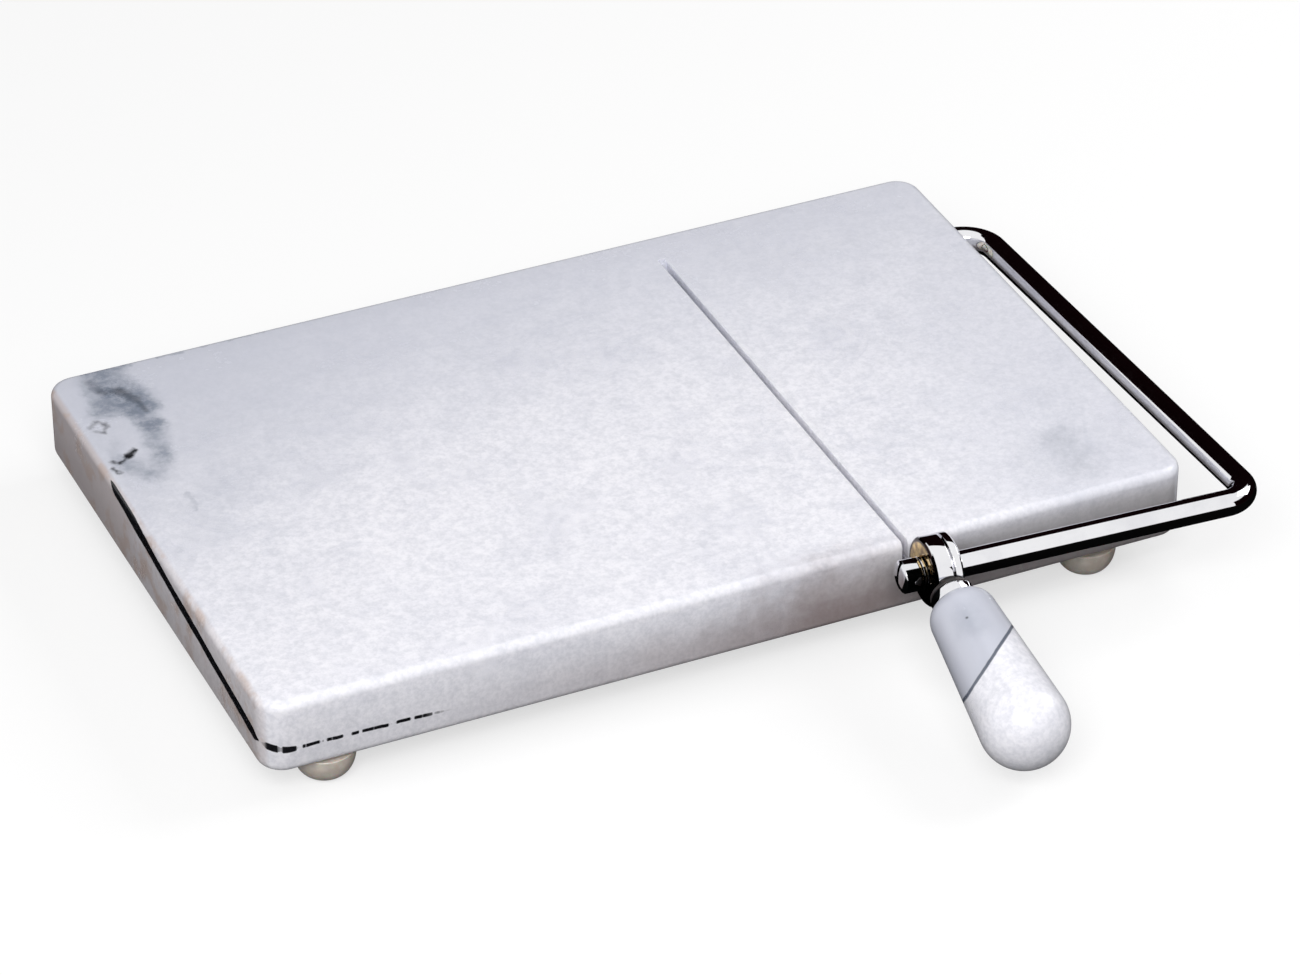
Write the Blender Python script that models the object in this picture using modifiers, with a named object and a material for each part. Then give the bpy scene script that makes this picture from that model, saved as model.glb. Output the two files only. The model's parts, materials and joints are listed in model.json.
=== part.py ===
"""Foie gras slicer: a marble board with a wire bow hinged inside its right-hand end.

Metres, +Z up. X runs along the board and -Y faces the user. The origin lies on the
table, under the middle of the whole slicer's box. The bow is at rest, with its wire
lying in the saw cut across the board.
"""
import math

import bmesh
import bpy
from mathutils import Euler, Matrix, Vector

# Marble board
BOARD_LENGTH = 0.203
BOARD_WIDTH = 0.128
BOARD_THICKNESS = 0.0165
BOARD_CORNER_RADIUS = 0.0055
BOARD_EDGE_RADIUS = 0.002
BOARD_SHARP_ANGLE = math.radians(40)

# Saw cut that the wire drops into, measured from the right end of the board
KERF_INSET = 0.0649
KERF_WIDTH = 0.0014
KERF_DEPTH = 0.0079
KERF_BLADE_RADIUS = 0.020
KERF_STOP_BEFORE_PIVOT = 0.007

# Hinge of the bow: a bore along X, drilled from the right end
PIVOT_INSET = 0.019
PIVOT_HEIGHT = 0.0095
BUSH_WALL = 0.0007
BUSH_LENGTH = 0.012
BUSH_FLANGE_WIDTH = 0.0012
BUSH_FLANGE_THICKNESS = 0.0009
BUSH_PRESS_GAP = 0.0003

# Stick-on feet
FOOT_DIAMETER = 0.0127
FOOT_FLAT_DIAMETER = 0.0056
FOOT_THICKNESS = 0.0062
FOOT_SIDE_HEIGHT = 0.0008
FOOT_INSET_FRONT = 0.0065
FOOT_INSET_LEFT = 0.0145
FOOT_INSET_RIGHT = 0.0197

# Bow: one bent rod, with room between its hub and the front of the board
ROD_DIAMETER = 0.0055
HUB_CLEARANCE = 0.0018
SIDE_GAP = 0.0081
REAR_BEND_RADIUS = 0.0075
FRONT_BEND_RADIUS = 0.006
BOW_RISE_AT_REST = 0.0055
TOE_IN = math.radians(3.4)
LEG_PAST_WIRE = 0.004

# Wire, crimped behind the rear leg and looped round the clamp screw at the hub
WIRE_DIAMETER = 0.0006
CRIMP_DIAMETER = 0.0022
CRIMP_LENGTH = 0.002
REAR_CRIMP_OFFSET = 0.0012
LOOP_ANGLE = 270
LOOP_STEPS = 18

# Hub: a grooved drum on the end of the bow
HUB_RADIUS = 0.00725
HUB_LENGTH = 0.0062
HUB_CHAMFER = 0.0005
HUB_GROOVE_RADIUS = 0.0054
HUB_GROOVE_START = 0.0038
HUB_GROOVE_WIDTH = 0.00055
HUB_FLAT_HEIGHT = 0.0065

# Clamp screw on the free end of the rod, and its washer
SCREW_DIAMETER = 0.0029
SCREW_HEAD_RADIUS = 0.00345
SCREW_HEAD_SIDE = 0.0032
SCREW_HEAD_DOME = 0.0011
SCREW_REACH = 0.006
SCREW_SLOT_WIDTH = 0.0009
SCREW_SLOT_DEPTH = 0.0011
WASHER_THICKNESS = 0.0006

# Handle, screwed on a stud in the hub
HANDLE_DROOP = math.radians(14)
STUD_DIAMETER = 0.0039
STUD_END = 0.024
HANDLE_WASHER_RADIUS = 0.0044
HANDLE_WASHER_THICKNESS = 0.0007
FERRULE_LENGTH = 0.0024
FERRULE_REAR_RADIUS = 0.0047
FERRULE_FRONT_RADIUS = 0.0043
INSERT_DIAMETER = 0.007
INSERT_LENGTH = 0.014
HANDLE_NECK_RADIUS = 0.0046
HANDLE_SHOULDER_RADIUS = 0.00705
HANDLE_SHOULDER_LENGTH = 0.0038
HANDLE_BALL_RADIUS = 0.0092
HANDLE_BALL_CENTRE = 0.0438

# Clearance between pieces that touch or run in each other
GAP = 0.0003

# How finely round forms are divided
ROD_BEVEL_RESOLUTION = 10
WIRE_BEVEL_RESOLUTION = 2
BEND_STEPS = 10
ARC_STEPS = 8
SMALL_STEPS = 24
LARGE_STEPS = 40
HUB_STEPS = 48
EDGE_STEPS = 4
MERGE_DISTANCE = 0.000001
CUT_OVERRUN = 0.002


def board_corner():
    """Half sizes of the board."""
    return BOARD_LENGTH / 2, BOARD_WIDTH / 2


KERF_X = BOARD_LENGTH / 2 - KERF_INSET
PIVOT_Y = BOARD_WIDTH / 2 - PIVOT_INSET
SIDE_X = BOARD_LENGTH / 2 + SIDE_GAP
ROD_RADIUS = ROD_DIAMETER / 2
BUSH_INNER_RADIUS = ROD_RADIUS + GAP
BUSH_OUTER_RADIUS = BUSH_INNER_RADIUS + BUSH_WALL
BORE_RADIUS = BUSH_OUTER_RADIUS + BUSH_PRESS_GAP
FLANGE_RADIUS = BUSH_OUTER_RADIUS + BUSH_FLANGE_WIDTH
LEG_END_X = KERF_X - LEG_PAST_WIRE
BOARD_REACH = BOARD_WIDTH - PIVOT_INSET
TOE_IN_RUN = (SIDE_X - KERF_X) * math.tan(TOE_IN)
BOW_REACH = BOARD_REACH + HUB_CLEARANCE + HUB_RADIUS + TOE_IN_RUN
UNDERSIDE = FOOT_THICKNESS + GAP
REST_TILT = math.asin(BOW_RISE_AT_REST / BOW_REACH)

# Room for the looped wire between the rod's end and the hub's face
WIRE_RADIUS = WIRE_DIAMETER / 2
LOOP_RADIUS = SCREW_DIAMETER / 2 + GAP + WIRE_RADIUS
LOOP_DEPTH = WIRE_RADIUS + GAP
POCKET_DEPTH = 2 * LOOP_DEPTH

# In the bow's own plane the pivot is y = 0 and the front corner is at y = -BOW_REACH
LEG_DIRECTION = Vector((-math.cos(TOE_IN), math.sin(TOE_IN), 0))
FRONT_CORNER = Vector((SIDE_X, -BOW_REACH, 0))
LOOP_CENTRE = FRONT_CORNER + LEG_DIRECTION * ((SIDE_X - KERF_X) / math.cos(TOE_IN))
HUB_FACE = LOOP_CENTRE + LEG_DIRECTION * LOOP_DEPTH
ROD_END = HUB_FACE - LEG_DIRECTION * POCKET_DEPTH
HANDLE_ROOT = HUB_FACE - LEG_DIRECTION * (HUB_LENGTH / 2)

# The hub's frame has Z along the rod, away from its free end, and X downwards
HUB_TURN = Euler((0, math.pi / 2, -TOE_IN))
HANDLE_TURN = Euler((math.pi / 2 + HANDLE_DROOP, 0, -TOE_IN))
HANDLE_AXIS = HANDLE_TURN.to_matrix() @ Vector((0, 0, 1))

# Places along the handle's axis, counted from the rod's axis
STUD_START = ROD_RADIUS + GAP
STUD_HOLE_RADIUS = STUD_DIAMETER / 2 + GAP
HANDLE_WASHER_START = HUB_FLAT_HEIGHT + GAP
FERRULE_START = HANDLE_WASHER_START + HANDLE_WASHER_THICKNESS + GAP
HANDLE_START = FERRULE_START + FERRULE_LENGTH + GAP
INSERT_START = HANDLE_START + GAP
INSERT_RADIUS = INSERT_DIAMETER / 2

# The wire runs from the rear leg's axis to the underside of its loop
WIRE_START = Vector((KERF_X, 0, 0))
WIRE_DIRECTION = (LOOP_CENTRE - Vector((0, 0, LOOP_RADIUS)) - WIRE_START).normalized()


def bow_to_board():
    """Matrix from the bow's plane to the board's frame, at rest."""
    return Matrix.Translation((0, PIVOT_Y, PIVOT_HEIGHT)) @ Matrix.Rotation(-REST_TILT, 4, "X")


def board_centre():
    """Where the middle of the board's underside lies, so that the whole box is centred."""
    half_length, half_width = board_corner()
    ball = bow_to_board() @ (HANDLE_ROOT + HANDLE_AXIS * HANDLE_BALL_CENTRE)
    front = ball.y - HANDLE_BALL_RADIUS
    right = SIDE_X + ROD_RADIUS
    return Vector(((half_length - right) / 2, -(half_width + front) / 2, UNDERSIDE))


def clear_scene():
    for item in list(bpy.data.objects):
        bpy.data.objects.remove(item, do_unlink=True)


def collection(name):
    group = bpy.data.collections.new(name)
    bpy.context.scene.collection.children.link(group)
    return group


def material(name, colour, roughness, metallic=0.0):
    made = bpy.data.materials.new(name)
    made.use_nodes = True
    shader = made.node_tree.nodes["Principled BSDF"]
    shader.inputs["Base Color"].default_value = (*colour, 1)
    shader.inputs["Roughness"].default_value = roughness
    shader.inputs["Metallic"].default_value = metallic
    return made


def place(item, group, parent, location=(0, 0, 0), rotation=(0, 0, 0), look=None):
    """Put an object in its collection, under its parent, with its material."""
    group.objects.link(item)
    item.parent = parent
    item.location = location
    item.rotation_euler = rotation
    if look is not None:
        item.data.materials.append(look)
    return item


def cutter(item):
    item.hide_render = True
    item.display_type = "WIRE"
    return item


def empty(name, group, parent=None, location=(0, 0, 0), rotation=(0, 0, 0)):
    return place(bpy.data.objects.new(name, None), group, parent, location, rotation)


def block(name, low, high):
    """A box between two corners."""
    low, high = Vector(low), Vector(high)
    mesh = bpy.data.meshes.new(name)
    shape = bmesh.new()
    size = Matrix.Diagonal((*(high - low), 1))
    bmesh.ops.create_cube(shape, size=1, matrix=Matrix.Translation((low + high) / 2) @ size)
    shape.to_mesh(mesh)
    shape.free()
    return bpy.data.objects.new(name, mesh)


def turned(name, profile, steps, closed=False):
    """A profile of (radius, height) points turned about Z. Its outer side runs downwards."""
    mesh = bpy.data.meshes.new(name)
    shape = bmesh.new()
    points = [shape.verts.new((radius, 0, height)) for radius, height in profile]
    for first, second in zip(points, points[1:]):
        shape.edges.new((first, second))
    if closed:
        shape.edges.new((points[-1], points[0]))
    shape.to_mesh(mesh)
    shape.free()
    item = bpy.data.objects.new(name, mesh)
    screw = item.modifiers.new("Turn", "SCREW")
    screw.steps = steps
    screw.render_steps = steps
    screw.use_merge_vertices = True
    screw.merge_threshold = MERGE_DISTANCE
    screw.use_smooth_shade = True
    return item


def sleeve_profile(inner, outer, low, high):
    return [(inner, high), (outer, high), (outer, low), (inner, low)]


def boolean(item, tool, operation="DIFFERENCE"):
    modifier = item.modifiers.new(tool.name, "BOOLEAN")
    modifier.operation = operation
    modifier.object = tool


def curve(name, points, cyclic=False):
    data = bpy.data.curves.new(name, "CURVE")
    spline = data.splines.new("POLY")
    spline.points.add(len(points) - 1)
    for target, point in zip(spline.points, points):
        target.co = (*point, 1)
    spline.use_cyclic_u = cyclic
    return data


def tube(name, points, diameter, resolution):
    data = curve(name, points)
    data.dimensions = "3D"
    data.bevel_depth = diameter / 2
    data.bevel_resolution = resolution
    data.use_fill_caps = True
    return bpy.data.objects.new(name, data)


def plate(name, outline, thickness):
    """A flat outline in XY with the given thickness along Z."""
    data = curve(name, [(x, y, 0) for x, y in outline], cyclic=True)
    data.dimensions = "2D"
    data.fill_mode = "BOTH"
    data.extrude = thickness / 2
    return bpy.data.objects.new(name, data)


def as_mesh(item):
    """Swap a placed curve object for a welded mesh of the same shape."""
    bpy.context.view_layer.update()
    graph = bpy.context.evaluated_depsgraph_get()
    mesh = bpy.data.meshes.new_from_object(item.evaluated_get(graph))
    shape = bmesh.new()
    shape.from_mesh(mesh)
    bmesh.ops.remove_doubles(shape, verts=shape.verts, dist=MERGE_DISTANCE)
    shape.to_mesh(mesh)
    shape.free()
    swapped = bpy.data.objects.new(item.name, mesh)
    for group in item.users_collection:
        group.objects.link(swapped)
    world = item.matrix_world.copy()
    name = item.name
    swapped.parent = item.parent
    bpy.data.objects.remove(item, do_unlink=True)
    swapped.name = name
    swapped.matrix_world = world
    return swapped


def bend(before, corner, after, radius):
    """Points along the arc that rounds a corner of a route."""
    back = (before - corner).normalized()
    ahead = (after - corner).normalized()
    half_angle = back.angle(ahead) / 2
    centre = corner + (back + ahead).normalized() * (radius / math.sin(half_angle))
    first = corner + back * (radius / math.tan(half_angle)) - centre
    turn = math.pi - 2 * half_angle
    axis = ahead.cross(back).normalized()
    return [
        centre + Matrix.Rotation(turn * step / BEND_STEPS, 3, axis) @ first
        for step in range(BEND_STEPS + 1)
    ]


def arc(centre, radius_x, radius_y, start, end, steps=ARC_STEPS):
    """Points of an elliptical arc in a profile's plane, angles in degrees."""
    angles = [math.radians(start + (end - start) * step / steps) for step in range(steps + 1)]
    return [
        (centre[0] + radius_x * math.cos(angle), centre[1] + radius_y * math.sin(angle))
        for angle in angles
    ]


def aimed(direction):
    """Rotation that turns Z to a direction."""
    return direction.to_track_quat("Z", "Y").to_euler()


def marble_board(parts, tools, frame, look):
    """Rounded slab with the saw cut and the bore of the hinge."""
    half_length, half_width = board_corner()
    low = (-half_length, -half_width, 0)
    board = block("marble_board", low, (half_length, half_width, BOARD_THICKNESS))
    shape = bmesh.new()
    shape.from_mesh(board.data)
    upright = [edge for edge in shape.edges if abs(edge.verts[0].co.z - edge.verts[1].co.z) > GAP]
    bmesh.ops.bevel(
        shape, geom=upright, offset=BOARD_CORNER_RADIUS, segments=ARC_STEPS, profile=0.5, affect="EDGES"
    )
    shape.to_mesh(board.data)
    shape.free()
    place(board, parts, frame, look=look)
    rounding = board.modifiers.new("Edges", "BEVEL")
    rounding.width = BOARD_EDGE_RADIUS
    rounding.segments = EDGE_STEPS
    rounding.limit_method = "ANGLE"
    rounding.angle_limit = BOARD_SHARP_ANGLE
    boolean(board, kerf_cutter(tools, frame))
    boolean(board, bore_cutter(tools, frame))


def kerf_cutter(tools, frame):
    """Path of the saw: level from the front, then rising where the round blade stopped."""
    half_width = BOARD_WIDTH / 2
    floor = BOARD_THICKNESS - KERF_DEPTH
    stop = PIVOT_Y - KERF_STOP_BEFORE_PIVOT
    top = BOARD_THICKNESS + CUT_OVERRUN
    front = -half_width - CUT_OVERRUN
    rise = math.degrees(math.asin((top - floor) / KERF_BLADE_RADIUS - 1))
    blade = arc((stop, floor + KERF_BLADE_RADIUS), KERF_BLADE_RADIUS, KERF_BLADE_RADIUS, -90, rise)
    outline = [(front, floor), *blade, (front, top)]
    across = (math.pi / 2, 0, math.pi / 2)
    cut = place(plate("kerf_cutter", outline, KERF_WIDTH), tools, frame, (KERF_X, 0, 0), across)
    return cutter(as_mesh(cut))


def bore_cutter(tools, frame):
    """Drilled hole for both bushes, with a recess for the outer one's flange."""
    recess = BUSH_FLANGE_THICKNESS + GAP
    depth = BOARD_LENGTH / 2 - LEG_END_X + 2 * GAP
    profile = [
        (0, CUT_OVERRUN),
        (FLANGE_RADIUS + GAP, CUT_OVERRUN),
        (FLANGE_RADIUS + GAP, -recess),
        (BORE_RADIUS, -recess),
        (BORE_RADIUS, -depth),
        (0, -depth),
    ]
    cut = turned("bore_cutter", profile, LARGE_STEPS)
    return cutter(place(cut, tools, frame, (BOARD_LENGTH / 2, PIVOT_Y, PIVOT_HEIGHT), (0, math.pi / 2, 0)))


def pivot_bushes(parts, frame, look):
    """Nylon bushes: a flanged one at the mouth and a plain one beside the saw cut."""
    flange = [
        (BUSH_INNER_RADIUS, 0),
        (FLANGE_RADIUS, 0),
        (FLANGE_RADIUS, -BUSH_FLANGE_THICKNESS),
        (BUSH_OUTER_RADIUS, -BUSH_FLANGE_THICKNESS),
        (BUSH_OUTER_RADIUS, -BUSH_LENGTH),
        (BUSH_INNER_RADIUS, -BUSH_LENGTH),
    ]
    across = (0, math.pi / 2, 0)
    outer = turned("pivot_bush_outer", flange, SMALL_STEPS, closed=True)
    place(outer, parts, frame, (BOARD_LENGTH / 2, PIVOT_Y, PIVOT_HEIGHT), across, look)
    plain = sleeve_profile(BUSH_INNER_RADIUS, BUSH_OUTER_RADIUS, 0, BUSH_LENGTH)
    inner = turned("pivot_bush_inner", plain, SMALL_STEPS, closed=True)
    start = KERF_X + KERF_WIDTH / 2 + 2 * GAP
    place(inner, parts, frame, (start, PIVOT_Y, PIVOT_HEIGHT), across, look)


def feet(parts, frame, look):
    """Four domed bumpers on the underside."""
    half_length, half_width = board_corner()
    radius = FOOT_DIAMETER / 2
    flat = FOOT_FLAT_DIAMETER / 2
    dome = arc(
        (flat, -FOOT_SIDE_HEIGHT), radius - flat, FOOT_THICKNESS - FOOT_SIDE_HEIGHT, 0, -90
    )
    profile = [(0, 0), (radius, 0), *dome, (0, -FOOT_THICKNESS)]
    columns = {"left": -half_length + FOOT_INSET_LEFT, "right": half_length - FOOT_INSET_RIGHT}
    rows = {"front": FOOT_INSET_FRONT - half_width, "rear": half_width - FOOT_INSET_FRONT}
    for row, y in rows.items():
        for column, x in columns.items():
            foot = turned(f"foot_{row}_{column}", profile, LARGE_STEPS)
            place(foot, parts, frame, (x, y, -GAP), look=look)


def bow_rod(parts, tools, pivot, look):
    """Rear leg in the board, side leg along its end, front leg into the hub."""
    start = Vector((LEG_END_X, 0, 0))
    rear_corner = Vector((SIDE_X, 0, 0))
    route = [
        start,
        *bend(start, rear_corner, FRONT_CORNER, REAR_BEND_RADIUS),
        *bend(rear_corner, FRONT_CORNER, ROD_END, FRONT_BEND_RADIUS),
        ROD_END,
    ]
    rod = as_mesh(place(tube("bow_rod", route, ROD_DIAMETER, ROD_BEVEL_RESOLUTION), parts, pivot))
    rod.data.materials.append(look)
    boolean(rod, wire_hole_cutter(tools, pivot))
    boolean(rod, screw_hole_cutter(tools, pivot))


def wire_hole_cutter(tools, pivot):
    """Cross hole for the wire, widened at the back to sink the rear crimp."""
    hole = WIRE_RADIUS + GAP
    pocket = CRIMP_DIAMETER / 2 + GAP
    floor = CRIMP_LENGTH / 2 - REAR_CRIMP_OFFSET + GAP
    profile = [
        (0, ROD_DIAMETER),
        (hole, ROD_DIAMETER),
        (hole, floor),
        (pocket, floor),
        (pocket, -ROD_DIAMETER),
        (0, -ROD_DIAMETER),
    ]
    cut = turned("wire_hole_cutter", profile, SMALL_STEPS)
    return cutter(place(cut, tools, pivot, WIRE_START, aimed(WIRE_DIRECTION)))


def screw_hole_cutter(tools, pivot):
    """Blind hole in the rod's free end for the clamp screw."""
    radius = SCREW_DIAMETER / 2 + GAP
    end = SCREW_REACH + 2 * GAP
    profile = [(0, end), (radius, end), (radius, -CUT_OVERRUN), (0, -CUT_OVERRUN)]
    cut = turned("screw_hole_cutter", profile, SMALL_STEPS)
    return cutter(place(cut, tools, pivot, ROD_END, HUB_TURN))


def cutting_wire(parts, pivot, look):
    """Taut wire: crimped behind the rear leg, and wound round the clamp screw in front."""
    rear_centre = WIRE_START - WIRE_DIRECTION * REAR_CRIMP_OFFSET
    rear_end = rear_centre - WIRE_DIRECTION * (CRIMP_LENGTH / 2)
    turn = HUB_TURN.to_matrix()
    angles = [math.radians(LOOP_ANGLE * step / LOOP_STEPS) for step in range(LOOP_STEPS + 1)]
    loop = [
        LOOP_CENTRE + turn @ Vector((math.cos(angle), -math.sin(angle), 0)) * LOOP_RADIUS
        for angle in angles
    ]
    wire = tube("cutting_wire", [rear_end, *loop], WIRE_DIAMETER, WIRE_BEVEL_RESOLUTION)
    place(wire, parts, pivot, look=look)
    sleeve = sleeve_profile(WIRE_RADIUS + GAP, CRIMP_DIAMETER / 2, -CRIMP_LENGTH / 2, CRIMP_LENGTH / 2)
    crimp = turned("wire_crimp", sleeve, SMALL_STEPS, closed=True)
    place(crimp, parts, pivot, rear_centre, aimed(WIRE_DIRECTION), look)


def wire_hub(parts, tools, hub_frame, seat, look):
    """Grooved drum with a slot for the wire, and a flat and a hole for the handle's stud."""
    bore = ROD_RADIUS + GAP
    rim = HUB_RADIUS - HUB_CHAMFER
    groove_end = HUB_GROOVE_START + HUB_GROOVE_WIDTH
    profile = [
        (bore, HUB_LENGTH),
        (rim, HUB_LENGTH),
        (HUB_RADIUS, HUB_LENGTH - HUB_CHAMFER),
        (HUB_RADIUS, groove_end),
        (HUB_GROOVE_RADIUS, groove_end),
        (HUB_GROOVE_RADIUS, HUB_GROOVE_START),
        (HUB_RADIUS, HUB_GROOVE_START),
        (HUB_RADIUS, HUB_CHAMFER),
        (rim, 0),
        (bore, 0),
    ]
    hub = place(turned("wire_hub", profile, HUB_STEPS, closed=True), parts, hub_frame, look=look)
    slot_half = WIRE_RADIUS + GAP
    slot = block(
        "wire_slot_cutter",
        (LOOP_RADIUS - slot_half, 0, -CUT_OVERRUN),
        (LOOP_RADIUS + slot_half, HUB_RADIUS + CUT_OVERRUN, POCKET_DEPTH),
    )
    boolean(hub, cutter(place(slot, tools, hub_frame)))
    top = HUB_RADIUS + CUT_OVERRUN
    low = (-HUB_LENGTH, -HUB_RADIUS, HUB_FLAT_HEIGHT)
    flat = block("hub_flat_cutter", low, (HUB_LENGTH, HUB_RADIUS, top))
    boolean(hub, cutter(place(flat, tools, seat)))
    hole = [(0, top), (STUD_HOLE_RADIUS, top), (STUD_HOLE_RADIUS, 0), (0, 0)]
    boolean(hub, cutter(place(turned("stud_hole_cutter", hole, SMALL_STEPS), tools, seat)))


def clamp(parts, tools, hub_frame, look):
    """Domed screw in the rod's end, with the washer that holds the looped wire in."""
    washer_start = -GAP - WASHER_THICKNESS
    ring = sleeve_profile(SCREW_DIAMETER / 2 + GAP, SCREW_HEAD_RADIUS, washer_start, -GAP)
    place(turned("clamp_washer", ring, SMALL_STEPS, closed=True), parts, hub_frame, look=look)

    head = washer_start - GAP
    side = head - SCREW_HEAD_SIDE
    tip = POCKET_DEPTH + SCREW_REACH
    shank = SCREW_DIAMETER / 2
    dome = arc((0, side), SCREW_HEAD_RADIUS, SCREW_HEAD_DOME, 0, -90)
    profile = [
        (0, tip),
        (shank - GAP, tip),
        (shank, tip - GAP),
        (shank, head),
        (SCREW_HEAD_RADIUS, head),
        *dome[:-1],
        (0, side - SCREW_HEAD_DOME),
    ]
    screw = place(turned("clamp_screw", profile, LARGE_STEPS), parts, hub_frame, look=look)
    end = side - SCREW_HEAD_DOME
    slot = block(
        "screw_slot_cutter",
        (-SCREW_HEAD_RADIUS - CUT_OVERRUN, -SCREW_SLOT_WIDTH / 2, end - CUT_OVERRUN),
        (SCREW_HEAD_RADIUS + CUT_OVERRUN, SCREW_SLOT_WIDTH / 2, end + SCREW_SLOT_DEPTH),
    )
    boolean(screw, cutter(place(slot, tools, hub_frame)))


def handle_stud(parts, seat, look):
    """Threaded stud that fixes the hub on the rod and carries the handle."""
    radius = STUD_DIAMETER / 2
    profile = [
        (0, STUD_END),
        (radius - GAP, STUD_END),
        (radius, STUD_END - GAP),
        (radius, STUD_START),
        (0, STUD_START),
    ]
    place(turned("handle_stud", profile, SMALL_STEPS), parts, seat, look=look)


def handle_washer(parts, seat, look):
    end = HANDLE_WASHER_START + HANDLE_WASHER_THICKNESS
    ring = sleeve_profile(STUD_HOLE_RADIUS, HANDLE_WASHER_RADIUS, HANDLE_WASHER_START, end)
    place(turned("handle_washer", ring, LARGE_STEPS, closed=True), parts, seat, look=look)


def handle_ferrule(parts, seat, look):
    """Tapered cap between the washer and the stone."""
    end = FERRULE_START + FERRULE_LENGTH
    ring = [
        (STUD_HOLE_RADIUS, end),
        (FERRULE_FRONT_RADIUS, end),
        (FERRULE_REAR_RADIUS, FERRULE_START),
        (STUD_HOLE_RADIUS, FERRULE_START),
    ]
    place(turned("handle_ferrule", ring, LARGE_STEPS, closed=True), parts, seat, look=look)


def handle_insert(parts, seat, look):
    """Threaded brass sleeve set in the stone."""
    ring = sleeve_profile(STUD_HOLE_RADIUS, INSERT_RADIUS, INSERT_START, INSERT_START + INSERT_LENGTH)
    place(turned("handle_insert", ring, SMALL_STEPS, closed=True), parts, seat, look=look)


def marble_handle(parts, seat, look):
    """Turned stone grip that widens to a ball end, with a blind hole for the insert."""
    shoulder = HANDLE_START + HANDLE_SHOULDER_LENGTH
    spread = HANDLE_BALL_RADIUS - HANDLE_SHOULDER_RADIUS
    taper = math.degrees(math.asin(spread / (HANDLE_BALL_CENTRE - shoulder)))
    ball = arc((0, HANDLE_BALL_CENTRE), HANDLE_BALL_RADIUS, HANDLE_BALL_RADIUS, 90, -taper, 2 * ARC_STEPS)
    rounding = arc(
        (HANDLE_NECK_RADIUS, shoulder),
        HANDLE_SHOULDER_RADIUS - HANDLE_NECK_RADIUS,
        HANDLE_SHOULDER_LENGTH,
        0,
        -90,
    )
    hole = INSERT_RADIUS + GAP
    hole_end = INSERT_START + INSERT_LENGTH + GAP
    profile = [(0, ball[0][1]), *ball[1:], *rounding, (hole, HANDLE_START), (hole, hole_end), (0, hole_end)]
    place(turned("marble_handle", profile, LARGE_STEPS), parts, seat, look=look)


def build():
    clear_scene()
    parts = collection("foie_gras_slicer")
    tools = collection("cutters")
    marble = material("marble", (0.80, 0.80, 0.83), 0.3)
    nylon = material("nylon", (0.85, 0.83, 0.78), 0.5)
    bumper = material("bumper", (0.62, 0.60, 0.56), 0.45)
    chrome = material("chrome", (0.78, 0.78, 0.80), 0.08, 1.0)
    steel = material("steel", (0.62, 0.62, 0.64), 0.25, 1.0)
    brass = material("brass", (0.78, 0.60, 0.28), 0.3, 1.0)

    frame = empty("board_frame", parts, location=board_centre())
    pivot = empty("arm_pivot", parts, frame, (0, PIVOT_Y, PIVOT_HEIGHT), (-REST_TILT, 0, 0))
    hub_frame = empty("clamp_axis", parts, pivot, HUB_FACE, HUB_TURN)
    seat = empty("handle_seat", parts, pivot, HANDLE_ROOT, HANDLE_TURN)

    marble_board(parts, tools, frame, marble)
    pivot_bushes(parts, frame, nylon)
    feet(parts, frame, bumper)
    bow_rod(parts, tools, pivot, chrome)
    cutting_wire(parts, pivot, steel)
    wire_hub(parts, tools, hub_frame, seat, chrome)
    clamp(parts, tools, hub_frame, chrome)
    handle_stud(parts, seat, steel)
    handle_washer(parts, seat, nylon)
    handle_ferrule(parts, seat, chrome)
    handle_insert(parts, seat, brass)
    marble_handle(parts, seat, marble)
    bpy.context.view_layer.update()


build()
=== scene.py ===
import json
import math

import bmesh
import bpy
from mathutils import Matrix, Vector


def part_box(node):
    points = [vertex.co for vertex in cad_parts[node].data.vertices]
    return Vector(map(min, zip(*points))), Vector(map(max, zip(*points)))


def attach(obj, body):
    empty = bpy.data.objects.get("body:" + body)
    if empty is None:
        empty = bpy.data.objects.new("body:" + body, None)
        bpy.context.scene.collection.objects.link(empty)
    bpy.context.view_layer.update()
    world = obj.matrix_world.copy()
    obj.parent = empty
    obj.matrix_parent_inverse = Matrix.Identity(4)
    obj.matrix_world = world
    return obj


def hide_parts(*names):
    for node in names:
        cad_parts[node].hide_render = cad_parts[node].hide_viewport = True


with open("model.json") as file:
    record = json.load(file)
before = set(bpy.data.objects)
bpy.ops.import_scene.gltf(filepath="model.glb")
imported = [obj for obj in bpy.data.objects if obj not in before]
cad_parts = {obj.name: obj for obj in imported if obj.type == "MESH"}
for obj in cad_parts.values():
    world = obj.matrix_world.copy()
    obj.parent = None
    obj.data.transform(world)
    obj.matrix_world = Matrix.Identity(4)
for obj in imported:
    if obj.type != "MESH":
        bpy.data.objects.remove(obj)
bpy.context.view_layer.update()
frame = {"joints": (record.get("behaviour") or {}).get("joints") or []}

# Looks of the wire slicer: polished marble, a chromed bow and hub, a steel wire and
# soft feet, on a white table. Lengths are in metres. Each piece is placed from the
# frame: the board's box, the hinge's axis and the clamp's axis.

MM = 0.001

# Places that the frame gives
JOINTS = {joint["name"]: joint for joint in frame["joints"]}
BOARD_LOW, BOARD_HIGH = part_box("marble_board")
BOARD_SIZE = BOARD_HIGH - BOARD_LOW
BOARD_MIDDLE = (BOARD_LOW + BOARD_HIGH) / 2
PIVOT = Vector(JOINTS["arm_lift"]["pos_m"])
HUB_FACE = Vector(JOINTS["clamp_turn"]["pos_m"])
CLAMP_AXIS = Vector(JOINTS["clamp_turn"]["axis"]).normalized()

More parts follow.
